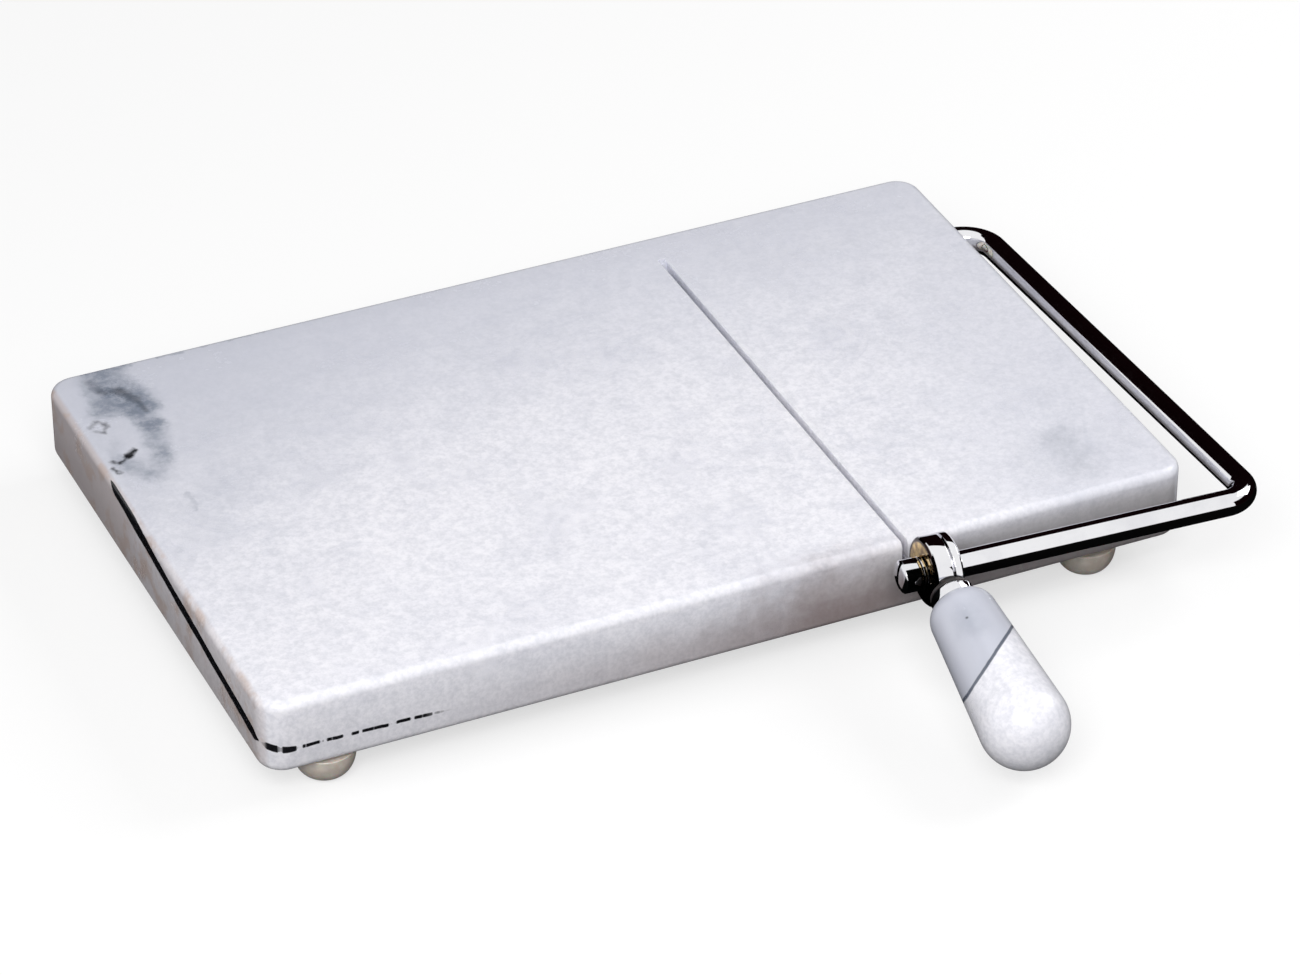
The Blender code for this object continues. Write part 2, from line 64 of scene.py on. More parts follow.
# Board
CORNER_RADIUS = 5.5 * MM
EDGE_RADIUS = 2 * MM
KERF_INSET = 64.9 * MM
KERF_WIDTH = 1.4 * MM
KERF_DEPTH = 7.9 * MM
KERF_BLADE_RADIUS = 20 * MM
KERF_STOP_BEFORE_PIVOT = 7 * MM
KERF_LIP = 0.3 * MM

# Hinge
ROD_RADIUS = 2.75 * MM
BUSH_INNER_RADIUS = 3.05 * MM
BUSH_OUTER_RADIUS = 3.75 * MM
BUSH_FLANGE_RADIUS = 4.95 * MM
BUSH_FLANGE_THICKNESS = 0.9 * MM
BUSH_LENGTH = 12 * MM
BORE_RADIUS = 4.05 * MM

# Bow
SIDE_GAP = 8.1 * MM
REAR_BEND_RADIUS = 7.5 * MM
FRONT_BEND_RADIUS = 6 * MM
LEG_PAST_WIRE = 4 * MM
REAR_CRIMP_OFFSET = 1.2 * MM
CRIMP_LENGTH = 2 * MM
CRIMP_RADIUS = 1.1 * MM
WIRE_RADIUS = 0.3 * MM

# Hub, clamp screw and handle, along the rod's axis and the handle's axis
HUB_RADIUS = 7.25 * MM
HUB_LENGTH = 6.2 * MM
HUB_CHAMFER = 0.5 * MM
GROOVE_RADIUS = 5.4 * MM
GROOVE_START = 3.8 * MM
GROOVE_WIDTH = 0.55 * MM
HUB_FLAT = 6.5 * MM
SCREW_RADIUS = 1.45 * MM
SCREW_HEAD_RADIUS = 3.45 * MM
SCREW_HEAD_SIDE = 3.2 * MM
SCREW_HEAD_DOME = 1.1 * MM
SCREW_REACH = 6 * MM
SCREW_SLOT_WIDTH = 0.9 * MM
SCREW_SLOT_DEPTH = 1.1 * MM
SCREW_PITCH = 0.5 * MM
SCREW_EDGE = 0.1 * MM
CLAMP_WASHER_THICKNESS = 0.6 * MM
HANDLE_DROOP = math.radians(14)
STUD_RADIUS = 1.95 * MM
STUD_END = 24 * MM
STUD_PITCH = 0.7 * MM
HANDLE_WASHER_RADIUS = 4.4 * MM
HANDLE_WASHER_THICKNESS = 0.7 * MM
FERRULE_LENGTH = 2.4 * MM
FERRULE_REAR_RADIUS = 4.7 * MM
FERRULE_FRONT_RADIUS = 4.3 * MM
FERRULE_EDGE = 0.3 * MM
INSERT_RADIUS = 3.5 * MM
INSERT_LENGTH = 14 * MM
NECK_RADIUS = 4.6 * MM
SHOULDER_RADIUS = 7.05 * MM
SHOULDER_LENGTH = 3.8 * MM
BALL_RADIUS = 9.2 * MM
BALL_CENTRE = 43.8 * MM

# Clearances, softened edges, and the room for the wire and its loop
GAP = 0.3 * MM
OVERRUN = 2 * MM
FINE_EDGE = 0.12 * MM
WIRE_ROOM = WIRE_RADIUS + GAP
LOOP_RADIUS = SCREW_RADIUS + GAP + WIRE_RADIUS

# Feet
FOOT_FLAT_RADIUS = 2.8 * MM
FOOT_SIDE_HEIGHT = 0.8 * MM
FOOT_RIM = 0.15 * MM

# How finely forms are divided
ROUND_STEPS = 96
ARC_STEPS = 16
EDGE_STEPS = 8
FINE_STEPS = 4
THREAD_STEPS = 36
THREAD_ROWS = 6
LOOP_STEPS = 48
CARD_STEPS = 24
GROUND_STEPS = 8
TUBE_RESOLUTION = 22
WIRE_RESOLUTION = 6

# A thread's depth as a share of its pitch, the profile of a round edge, the turn of the wire's
# loop, how near points are merged, and the angle from which an edge stays sharp
THREAD_DEPTH = 0.6
ROUND_PROFILE = 0.5
LOOP_DEGREES = 270
MERGE_DISTANCE = GAP / 1000
SHARP_ANGLE = math.radians(35)

# Camera of the photograph, counted from the middle of the board's underside
CAMERA_PLACE = Vector((-383.26, -862.85, 643.44)) * MM
CAMERA_TARGET = Vector((3.0, -13.8, 8.0)) * MM
CAMERA_LENS = 151.3
CAMERA_SENSOR = 36
CAMERA_NEAR = 0.05

# Dark cards round the table: name, from and to azimuth, and height as an angle. Azimuth 0 is
# behind the slicer and 90 on its right.
CARD_DISTANCE = 1.5
CARD_LIFT = 0.6 * MM
CARD_WALLS = (
    ("card_back", (-34, 62), 56),
    ("card_right", (62, 150), 30),
)

# Dark hood round the clamp screw, in the clamp's frame: azimuth 0 is behind it and 90 below
HOOD_RADIUS = 8 * MM
HOOD_AZIMUTHS = (30, 244)
HOOD_LOW = -8 * MM
HOOD_HIGH = 0.7 * MM

# Lamps: name, place, size and power
LAMPS = (
    ("front_box", (-0.34, -0.60, 0.70), (0.7, 0.5), 6.6),
    ("right_box", (0.80, 0.0, 0.60), (0.5, 0.5), 4.1),
)
LAMP_TARGET = Vector((0, 0, 0.01))

# The sky's strength from the left and from the right, and how far out its change ends
SKY_LEFT = 0.68
SKY_RIGHT = 0.18
SKY_TURN = 0.8

# The table's half width, and how much of its white is its own
TABLE_REACH = 6
TABLE_GLOW = 0.62

# The bow's plane turns about the pivot, and holds the rod, the hub and the wire's loop
REACH = HUB_FACE - PIVOT
TILT = math.atan2(REACH.z, -REACH.y)
BOW = Matrix.Translation((BOARD_MIDDLE.x, PIVOT.y, PIVOT.z)) @ Matrix.Rotation(-TILT, 4, "X")
BOARD_FRAME = Matrix.Translation((BOARD_MIDDLE.x, BOARD_MIDDLE.y, BOARD_LOW.z))
KERF_X = BOARD_SIZE.x / 2 - KERF_INSET
SIDE_X = BOARD_SIZE.x / 2 + SIDE_GAP
PIVOT_IN_BOARD = BOARD_FRAME.inverted() @ PIVOT


def axes_matrix(origin, along, down):
    """A frame with Z along one direction and X as near as can be to another."""
    z = along.normalized()
    x = (down - z * down.dot(z)).normalized()
    turn = Matrix((x, z.cross(x), z)).transposed().to_4x4()
    return Matrix.Translation(origin) @ turn


BOW_UP = BOW.to_3x3() @ Vector((0, 0, 1))
CLAMP = axes_matrix(HUB_FACE, -CLAMP_AXIS, -BOW_UP)
HANDLE_ROOT = HUB_FACE - CLAMP_AXIS * (HUB_LENGTH / 2)
ACROSS_HANDLE = CLAMP_AXIS.cross(BOW_UP).normalized()
HANDLE_OUT = -ACROSS_HANDLE if ACROSS_HANDLE.y > 0 else ACROSS_HANDLE
HANDLE_AXIS = HANDLE_OUT * math.cos(HANDLE_DROOP) - BOW_UP * math.sin(HANDLE_DROOP)
HANDLE = axes_matrix(HANDLE_ROOT, HANDLE_AXIS, -CLAMP_AXIS)


# Mesh tools


def smooth(item):
    """Smooth shading, with a crease along every sharp edge."""
    item.data.shade_smooth()
    item.data.set_sharp_from_angle(angle=SHARP_ANGLE)


def to_object(name, shape):
    """Keep a bmesh as a smooth object in the scene."""
    bmesh.ops.recalc_face_normals(shape, faces=shape.faces)
    mesh = bpy.data.meshes.new(name)
    shape.to_mesh(mesh)
    shape.free()
    item = bpy.data.objects.new(name, mesh)
    bpy.context.scene.collection.objects.link(item)
    smooth(item)
    return item


def bend(before, corner, after, radius, steps):
    """Points along the arc that rounds a corner of a route."""
    back = (before - corner).normalized()
    ahead = (after - corner).normalized()
    half = back.angle(ahead) / 2
    centre = corner + (back + ahead).normalized() * (radius / math.sin(half))
    first = (corner + back * (radius / math.tan(half)) - centre).normalized()
    last = (corner + ahead * (radius / math.tan(half)) - centre).normalized()
    return [centre + first.slerp(last, step / steps) * radius for step in range(steps + 1)]


def rounded(points):
    """Corners (radius, height, rounding) of a profile, each swapped for a short arc."""
    corners = [Vector((radius, height, 0)) for radius, height, _ in points]
    made = []
    for index, (radius, height, rounding) in enumerate(points):
        if rounding == 0:
            made.append((radius, height))
            continue
        after = corners[(index + 1) % len(points)]
        curve = bend(corners[index - 1], corners[index], after, rounding, FINE_STEPS)
        made += [(point.x, point.y) for point in curve]
    return made


def arc(centre, radius_x, radius_y, start, end, steps=ARC_STEPS):
    """Points of an elliptical arc in a profile's plane, angles in degrees."""
    angles = [math.radians(start + (end - start) * step / steps) for step in range(steps + 1)]
    return [
        (centre[0] + radius_x * math.cos(angle), centre[1] + radius_y * math.sin(angle))
        for angle in angles
    ]


def turned(name, profile, closed=False):
    """A profile of (radius, height) points turned about Z."""
    shape = bmesh.new()
    points = [shape.verts.new((radius, 0, height)) for radius, height in profile]
    pairs = list(zip(points, points[1:]))
    if closed:
        pairs.append((points[-1], points[0]))
    edges = [shape.edges.new(pair) for pair in pairs]
    bmesh.ops.spin(
        shape,
        geom=points + edges,
        cent=(0, 0, 0),
        axis=(0, 0, 1),
        angle=2 * math.pi,
        steps=ROUND_STEPS,
    )
    bmesh.ops.remove_doubles(shape, verts=shape.verts, dist=MERGE_DISTANCE)
    return to_object(name, shape)


def sleeve(name, inner, outer, low, high, rounding):
    """A ring or tube along Z with softened edges."""
    corners = [(inner, high), (outer, high), (outer, low), (inner, low)]
    return turned(name, rounded([(*corner, rounding) for corner in corners]), closed=True)


def drill(name, start, *steps):
    """A stepped round cutter along Z: each step is a radius and the height where it ends."""
    profile = [(0, start)]
    height = start
    for radius, end in steps:
        profile += [(radius, height), (radius, end)]
        height = end
    return turned(name, [*profile, (0, height)])


def block(name, low, high):
    """A box between two corners."""
    shape = bmesh.new()
    size = Matrix.Diagonal((*(Vector(high) - Vector(low)), 1))
    middle = Matrix.Translation((Vector(low) + Vector(high)) / 2)
    bmesh.ops.create_cube(shape, size=1, matrix=middle @ size)
    return to_object(name, shape)


def extruded(name, outline, half_depth):
    """An outline in YZ, given a thickness along X."""
    shape = bmesh.new()
    rings = []
    for x in (-half_depth, half_depth):
        rings.append([shape.verts.new((x, y, z)) for y, z in outline])
    shape.faces.new(rings[0])
    shape.faces.new(rings[1])
    count = len(outline)
    for index in range(count):
        after = (index + 1) % count
        shape.faces.new((rings[0][index], rings[0][after], rings[1][after], rings[1][index]))
    return to_object(name, shape)


def carve(item, *cutters):
    """Cut shapes out of a piece and keep the result as its mesh."""
    for cutter in cutters:
        modifier = item.modifiers.new(cutter.name, "BOOLEAN")
        modifier.operation = "DIFFERENCE"
        modifier.object = cutter
    bpy.context.view_layer.update()
    graph = bpy.context.evaluated_depsgraph_get()
    mesh = bpy.data.meshes.new_from_object(item.evaluated_get(graph))
    item.modifiers.clear()
    item.data = mesh
    for cutter in cutters:
        bpy.data.objects.remove(cutter, do_unlink=True)
    smooth(item)
    return item


def tube(name, points, radius, resolution=TUBE_RESOLUTION):
    """A round bar along a route, as a mesh."""
    data = bpy.data.curves.new(name, "CURVE")
    data.dimensions = "3D"
    spline = data.splines.new("POLY")
    spline.points.add(len(points) - 1)
    for target, point in zip(spline.points, points):
        target.co = (*point, 1)
    data.bevel_depth = radius
    data.bevel_resolution = resolution
    data.use_fill_caps = True
    guide = bpy.data.objects.new(name + "_guide", data)
    bpy.context.scene.collection.objects.link(guide)
    bpy.context.view_layer.update()
    graph = bpy.context.evaluated_depsgraph_get()
    mesh = bpy.data.meshes.new_from_object(guide.evaluated_get(graph))
    bpy.data.objects.remove(guide, do_unlink=True)
    shape = bmesh.new()
    shape.from_mesh(mesh)
    bpy.data.meshes.remove(mesh)
    bmesh.ops.remove_doubles(shape, verts=shape.verts, dist=MERGE_DISTANCE)
    return to_object(name, shape)


def threaded(name, radius, pitch, low, high):
    """A threaded bar along Z, with ends that taper over one turn."""
    rows = round((high - low) / pitch * THREAD_ROWS)
    depth = THREAD_DEPTH * pitch
    shape = bmesh.new()
    rings = []
    for row in range(rows + 1):
        z = low + (high - low) * row / rows
        fade = min(1.0, row / THREAD_ROWS, (rows - row) / THREAD_ROWS)
        ring = []
        for step in range(THREAD_STEPS):
            angle = 2 * math.pi * step / THREAD_STEPS
            phase = (z / pitch - step / THREAD_STEPS) % 1
            crest = abs(2 * phase - 1) * fade
            reach = radius - depth * (1 - crest)
            ring.append(shape.verts.new((reach * math.cos(angle), reach * math.sin(angle), z)))
        rings.append(ring)
    for ring, following in zip(rings, rings[1:]):
        for step in range(THREAD_STEPS):
            after = (step + 1) % THREAD_STEPS
            shape.faces.new((ring[step], ring[after], following[after], following[step]))
    shape.faces.new(rings[0])
    shape.faces.new(rings[-1])
    return to_object(name, shape)


def keep(item, body, look, stands_for, place):
    """Give a piece its place, look and body, and let it stand for a CAD node."""
    item.matrix_world = place
    item.data.materials.clear()
    item.data.materials.append(look)
    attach(item, body)
    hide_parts(stands_for)


# Material tools


def fill(tree, made, inputs):
    """Set a node's inputs, each to a value or to another node's socket."""
    for name, value in inputs.items():
        if isinstance(value, bpy.types.NodeSocket):
            tree.links.new(value, made.inputs[name])
        else:
            made.inputs[name].default_value = value


def node(tree, kind, inputs=None, **settings):
    """Add a shader node."""
    made = tree.nodes.new("ShaderNode" + kind)
    for name, value in settings.items():
        setattr(made, name, value)
    fill(tree, made, inputs or {})
    return made


def maths(tree, operation, first, second=0.0):
    """Result of an operation on one or two numbers."""
    return node(tree, "Math", {0: first, 1: second}, operation=operation).outputs[0]


def times(tree, first, *factors):
    """Product of any number of values and sockets."""
    for factor in factors:
        first = maths(tree, "MULTIPLY", first, factor)
    return first


def plus(tree, first, second):
    """Sum of two values or sockets."""
    return maths(tree, "ADD", first, second)


def off(tree, value, level):
    """How far a value is from a level, either way."""
    return maths(tree, "ABSOLUTE", maths(tree, "SUBTRACT", value, level))


def vectors(tree, operation, first, second):
    """Vector that an operation makes of two vectors."""
    return node(tree, "VectorMath", {0: first, 1: second}, operation=operation).outputs["Vector"]


def measure(tree, operation, first, second=(0, 0, 0)):
    """Number that an operation makes of vectors: their dot product, distance or length."""
    return node(tree, "VectorMath", {0: first, 1: second}, operation=operation).outputs["Value"]


def scaled(tree, vector, factor):
    """A vector times a number."""
    return node(tree, "VectorMath", {0: vector, "Scale": factor}, operation="SCALE").outputs["Vector"]


def split(tree, where):
    """X, Y and Z of a place."""
    return node(tree, "SeparateXYZ", {0: where}).outputs


def span(tree, value, low, high, to_low=0.0, to_high=1.0):
    """Smooth step of a value from one range to another."""
    limits = {"Value": value, "From Min": low, "From Max": high, "To Min": to_low, "To Max": to_high}
    return node(tree, "MapRange", limits, interpolation_type="SMOOTHSTEP").outputs[0]


def mix(tree, factor, first, second):
    """Blend of two colours: the first at 0, the second at 1."""
    made = node(tree, "Mix", {0: factor, 6: first, 7: second}, data_type="RGBA")
    return made.outputs[2]


def paint(tree, base, cover, *shares):
    """One colour laid over another, as strongly as the product of the shares says."""
    return mix(tree, times(tree, *shares), base, cover)


def noise(tree, where, scale, detail, roughness, distortion=0.0):
    """Cloudy noise from 0 to 1, with its scale counted per metre."""
    inputs = {
        "Vector": where,
        "Scale": scale,
        "Detail": detail,
        "Roughness": roughness,
        "Distortion": distortion,
    }
    return node(tree, "TexNoise", inputs).outputs[0]


def stretched(tree, where, scale):
    """Coordinates scaled by a factor for each axis, for noise that runs in lines."""
    return node(tree, "Mapping", {"Vector": where, "Scale": scale}).outputs[0]


def material(name):
    """A new material, its tree, its main shader and the piece's own coordinates."""
    made = bpy.data.materials.new(name)
    made.use_nodes = True
    tree = made.node_tree
    shader = tree.nodes["Principled BSDF"]
    where = node(tree, "TexCoord").outputs["Object"]
    return made, tree, shader, where


def bump(tree, shader, height, strength, distance):
    """Fine relief of a surface."""
    made = node(tree, "Bump", {"Height": height, "Strength": strength, "Distance": distance})
    tree.links.new(made.outputs[0], shader.inputs["Normal"])


def colour(red, green, blue):
    """Linear colour from a screen colour in 0 to 255."""
    parts = [value / 255 for value in (red, green, blue)]
    linear = [part / 12.92 if part < 0.04045 else ((part + 0.055) / 1.055) ** 2.4 for part in parts]
    return (*linear, 1)


# Materials


STONE_WHITE = colour(243, 242, 248)
STONE_GREY = colour(204, 206, 217)
STONE_SMUDGE = colour(112, 122, 138)
STONE_SHADE = colour(72, 80, 96)
STONE_BLACK = colour(24, 24, 28)
STONE_WARM = colour(190, 165, 150)
# Brown of the painted shade low on the sides and of the front stain
SHADE_AND_STAIN_BROWN = colour(128, 108, 104)
# Grey of the painted shade on the front by the hub
PAINTED_SHADE_DULL = colour(142, 138, 138)
CHROME_BRIGHT = (0.84, 0.84, 0.86, 1)
CHROME_HAZE = (0.76, 0.76, 0.79, 1)
# Painted reflection on the hub's flat end: gold, brown and a dark rim
END_REFLECTION_PALE = (0.95, 0.70, 0.32, 1)
END_REFLECTION_BROWN = (0.40, 0.26, 0.14, 1)
END_REFLECTION_DARK = (0.02, 0.01, 0.01, 1)
STEEL_DARK = (0.52, 0.52, 0.54, 1)
STEEL_BRIGHT = (0.70, 0.70, 0.72, 1)
BRASS_DARK = (0.70, 0.50, 0.20, 1)
BRASS_BRIGHT = (0.82, 0.64, 0.30, 1)
NYLON_DARK = colour(226, 222, 210)
NYLON_PALE = colour(236, 233, 224)
SMOKED_DARK = colour(36, 33, 33)
SMOKED_PALE = colour(52, 46, 46)
BUMPER_DARK = colour(192, 183, 173)
BUMPER_PALE = colour(212, 205, 196)
BUMPER_DUST = colour(232, 230, 226)
CARD_NEAR = (0.002, 0.002, 0.002, 1)
CARD_FAR = (0.008, 0.002, 0.003, 1)
TABLE_LIT = (0.95, 0.95, 0.95, 1)
TABLE_BOUNCE = (0.20, 0.20, 0.20, 1)
PURE_WHITE = (1, 1, 1, 1)

# Lines in the stone, each where the direction . place equals the level
SEAM_ACROSS = (0.03, -0.115, 1.0)
SEAM_LEVEL = 10.5 * MM
VEIN_ACROSS = (0.912, -0.393, 1.0)
VEIN_LEVEL = 26.5 * MM
LINE_WOBBLE = 1.2 * MM

# Stains: middle and reach; the front one is partly a stain and partly painted shadow of the hub
FRONT_STAIN_AND_SHADOW = ((22 * MM, -64 * MM, 7 * MM), (20 * MM, 5 * MM, 12 * MM))
HANDLE_STAIN = ((-2.83 * MM, 7.2 * MM, 21.0 * MM), (3 * MM, 3 * MM, 5 * MM))
HANDLE_PIT = ((-2.83 * MM, 7.2 * MM, 20.0 * MM), (0.5 * MM, 0.8 * MM, 0.5 * MM))


def stone_base(tree, where):
    """White stone with soft clouds, wisps and fine crystal grain."""
    warp = noise(tree, where, 30, 3, 0.5)
    cloud = span(tree, noise(tree, where, 60, 8, 0.68, 0.5), 0.38, 0.74)
    base = paint(tree, STONE_WHITE, STONE_GREY, cloud, 0.26)
    wisps = off(tree, noise(tree, where, 24, 6, 0.6, 1.6), 0.5)
    wisp = times(tree, span(tree, wisps, 0.03, 0.0), span(tree, warp, 0.45, 0.7))
    base = paint(tree, base, STONE_GREY, wisp, 0.25)
    mottle = span(tree, noise(tree, where, 380, 3, 0.6), 0.40, 0.66)
    base = paint(tree, base, STONE_SMUDGE, mottle, 0.09)
    grain = span(tree, noise(tree, where, 1000, 3, 0.6), 0.34, 0.68)
    base = paint(tree, base, STONE_SMUDGE, grain, 0.15)
    return base, grain


def polish(tree, shader, where, base, grain):
    """Gloss of polished stone: slightly uneven, with tiny pits between the crystals."""
    patches = span(tree, noise(tree, where, 60, 4, 0.6), 0.35, 0.7, 0.16, 0.26)
    inputs = {
        "Base Color": base,
        "Roughness": plus(tree, patches, times(tree, grain, 0.05)),
        "IOR": 1.49,
        "Subsurface Weight": 0.5,
        "Subsurface Radius": (1.0, 1.0, 1.0),
        "Subsurface Scale": 3.5 * MM,
    }
    fill(tree, shader, inputs)
    pits = span(tree, noise(tree, where, 1500, 2, 0.6), 0.62, 0.8, 1.0, 0.0)
    bump(tree, shader, pits, 0.12, 0.03 * MM)


def spot(tree, where, stain, wobble, softness=0.8):
    """Mask of a blurred patch: 1 in its middle, 0 outside, with an uneven rim."""
    middle, reach = stain
    unevenness = 1.6
    rim = 0.8 + unevenness / 2
    outward = vectors(tree, "DIVIDE", vectors(tree, "SUBTRACT", where, middle), reach)
    uneven = plus(tree, measure(tree, "LENGTH", outward), times(tree, wobble, unevenness))
    return span(tree, uneven, rim + softness, rim - softness)


def stroke(tree, where, start, end, half_width, softness):
    """Mask of a short line between two points of the board's top, in millimetres."""
    first = Vector((*start, 0)) * MM
    reach = Vector((*end, 0)) * MM - first
    offset = vectors(tree, "SUBTRACT", where, first)
    along = measure(tree, "DOT_PRODUCT", offset, reach / reach.length_squared)
    share = node(tree, "Clamp", {"Value": along}).outputs[0]
    away = measure(tree, "DISTANCE", offset, scaled(tree, reach, share))
    return span(tree, away, (half_width + softness) * MM, max(half_width - softness, 0) * MM)


def warped(tree, where, scale, amount):
    """Coordinates pushed about by noise, for ragged outlines."""
    push = node(tree, "TexNoise", {"Vector": where, "Scale": scale, "Detail": 4.0}).outputs["Color"]
    centred = vectors(tree, "SUBTRACT", push, (0.5, 0.5, 0.5))
    return vectors(tree, "ADD", where, scaled(tree, centred, amount))


def seam(tree, where, across, level, half_width, softness):
    """Mask of a wavering line where across . place equals level."""
    distance = measure(tree, "DOT_PRODUCT", where, across)
    push = maths(tree, "SUBTRACT", noise(tree, where, 90, 4, 0.6), 0.5)
    away = off(tree, plus(tree, distance, times(tree, push, LINE_WOBBLE)), level)
    return span(tree, away, plus(tree, half_width, softness), half_width)


# Marks of the board's top, and painted shade along its back edge: start, end, half width, softness
# (mm) and strength
SMUDGES_AND_EDGE_SHADE = (
    ((-90.0, 58.5), (-88.0, 49.5), 4.8, 3.0, 0.90),
    ((-92.5, 55.0), (-93.5, 48.5), 2.4, 2.2, 0.45),
    ((-94.0, 47.5), (-87.0, 45.0), 2.4, 2.2, 0.60),
    ((-90.5, 55.5), (-87.0, 49.0), 1.6, 1.6, 0.70),
    # Painted shade along the rounded back edge of the top
    ((-93.5, 62.2), (-84.0, 62.2), 0.7, 0.7, 0.60),
    ((-76.5, 62.4), (-72.0, 62.4), 0.5, 0.6, 0.50),
    ((-66.0, 62.4), (-54.0, 62.4), 0.5, 0.6, 0.45),
    ((-86.2, 46.5), (-86.8, 38.0), 2.4, 2.0, 0.75),
    ((-86.8, 38.0), (-88.8, 27.0), 2.4, 2.2, 0.65),
    ((-88.8, 27.0), (-91.5, 20.5), 2.0, 2.0, 0.40),
    ((-96.8, 28.0), (-94.0, 22.0), 2.2, 2.0, 0.60),
    ((-96.5, 35.5), (-97.5, 31.5), 1.4, 1.4, 0.20),
    ((-89.4, 11.5), (-89.7, 6.5), 0.6, 0.6, 0.30),
    ((82.5, -45.0), (82.0, -55.0), 3.4, 4.0, 0.22),
    ((76.0, -50.0), (86.0, -52.0), 7.0, 8.0, 0.12),
    ((80.5, -42.5), (84.5, -41.0), 2.0, 2.5, 0.18),
)
DARK_MARKS = (
    ((-92.8, 59.2), (-92.2, 54.7), 0.9, 1.2, 0.25),
    ((-91.5, 54.5), (-88.0, 53.5), 0.9, 1.2, 0.25),
    ((-88.5, 53.5), (-86.5, 49.5), 1.1, 1.2, 0.45),
    ((-86.2, 48.0), (-85.8, 44.5), 0.6, 0.8, 0.35),
    ((-98.5, 42.6), (-96.8, 44.4), 0.5, 0.6, 0.40),
    ((-96.8, 44.4), (-95.2, 42.8), 0.4, 0.6, 0.35),
    ((-95.2, 42.8), (-96.7, 39.8), 0.5, 0.6, 0.45),
    ((-96.7, 39.8), (-98.3, 41.0), 0.4, 0.6, 0.30),
    ((-97.4, 27.9), (-95.0, 29.4), 0.5, 0.5, 0.85),
    ((-95.0, 29.4), (-93.4, 30.9), 0.8, 0.5, 0.95),
    ((-98.8, 29.2), (-97.8, 28.2), 0.5, 0.5, 0.70),
    ((-99.4, 26.6), (-98.6, 24.6), 0.5, 0.6, 0.75),
)


def smudged(tree, where, base):
    """Grey smudges, painted shade along the back edge, and small dark marks on the board's top."""
    on_top = span(tree, split(tree, where)[2], 9 * MM, 15 * MM)
    flat = vectors(tree, "MULTIPLY", where, (1, 1, 0))
    cloudy = warped(tree, warped(tree, flat, 150, 7 * MM), 700, 2.2 * MM)
    blotches = span(tree, noise(tree, flat, 420, 6, 0.7), 0.35, 0.62, 0.47, 0.85)
    ragged = warped(tree, flat, 500, 2.4 * MM)
    layers = (
        (SMUDGES_AND_EDGE_SHADE, cloudy, times(tree, blotches, on_top), STONE_SMUDGE),
        (DARK_MARKS, ragged, on_top, STONE_BLACK),
    )
    for marks, place, share, cover in layers:
        for start, end, half_width, softness, strength in marks:
            patch = stroke(tree, place, start, end, half_width, softness)
            base = paint(tree, base, cover, patch, share, strength)
    return base


def stained_and_shaded_sides(tree, where, wobble, base):
    """Tan left end; painted shade low on the left, front and right faces and on the front by the hub;
    a brown patch on the front, partly stain and partly painted shadow of the hub.
    """
    half = BOARD_SIZE / 2
    deep = 1.5 * MM
    shallow = 0.5 * MM
    x, y, z = split(tree, where)
    left = span(tree, x, deep - half.x, shallow - half.x)
    front = span(tree, y, deep - half.y, shallow - half.y)
    right = span(tree, x, half.x - deep, half.x - shallow)
    height = plus(tree, z, times(tree, wobble, 5 * MM))
    patches = span(tree, wobble, 0.45, 0.62, 0.2, 0.65)
    behind = span(tree, y, -5 * MM, 20 * MM, 0.0, 0.4)
    base = paint(tree, base, STONE_WARM, left, maths(tree, "MAXIMUM", patches, behind))
    # Painted shade: brown, darker towards the bottom of the left end, where less light falls
    low = span(tree, height, 16 * MM, 5 * MM, 0.0, 0.30)
    base = paint(tree, base, SHADE_AND_STAIN_BROWN, left, low, 0.4)
    # Painted shade: the same on the front face, stronger towards the hub on the right
    shade_more_to_right = span(tree, x, -90 * MM, 40 * MM, 0.15, 2.2)
    base = paint(tree, base, SHADE_AND_STAIN_BROWN, front, times(tree, low, shade_more_to_right))
    # Brown patch on the front face: partly a stain, partly painted shadow of the hub
    base = paint(tree, base, SHADE_AND_STAIN_BROWN, spot(tree, where, FRONT_STAIN_AND_SHADOW, wobble), 0.5)
    # Painted shade: duller front face beside the hub, in its shadow
    hub_shade = times(tree, span(tree, x, 20 * MM, 48 * MM), span(tree, z, 17 * MM, 11 * MM))
    base = paint(tree, base, PAINTED_SHADE_DULL, front, hub_shade, 0.6)
    # Painted shade: the right end darker towards its bottom, shaded by the bow's rod
    foot = span(tree, height, 12 * MM, 9 * MM, 0.0, 0.5)
    return paint(tree, base, SHADE_AND_STAIN_BROWN, right, foot)


def board_seam(tree, where):
    """Mask of the dark seam: a wide band down the left end, then thin dashes along the front."""
    x, y, _ = split(tree, where)
    from_left = plus(tree, x, BOARD_SIZE.x / 2)
    grown = span(tree, y, 26 * MM, 20 * MM)
    narrowed = span(tree, y, -60.5 * MM, -57.5 * MM)
    on_end = span(tree, from_left, 0.7 * MM, 0.45 * MM)
    band = times(tree, grown, narrowed, on_end)
    dashes = span(tree, noise(tree, stretched(tree, where, (1, 0, 0)), 420, 2, 0.5), 0.42, 0.5)
    ahead = times(tree, span(tree, y, -58.8 * MM, -59.6 * MM), dashes)
    thin = times(tree, span(tree, from_left, 40 * MM, 33 * MM), ahead)
    wide = times(tree, band, 1.25 * MM)
    slim = span(tree, from_left, 3 * MM, 9 * MM, 0.75 * MM, 0.3 * MM)
    half_width = maths(tree, "MAXIMUM", wide, times(tree, thin, slim))
    line = seam(tree, where, SEAM_ACROSS, SEAM_LEVEL, half_width, 0.2 * MM)
    return times(tree, line, maths(tree, "MAXIMUM", span(tree, band, 0.0, 0.15), thin))


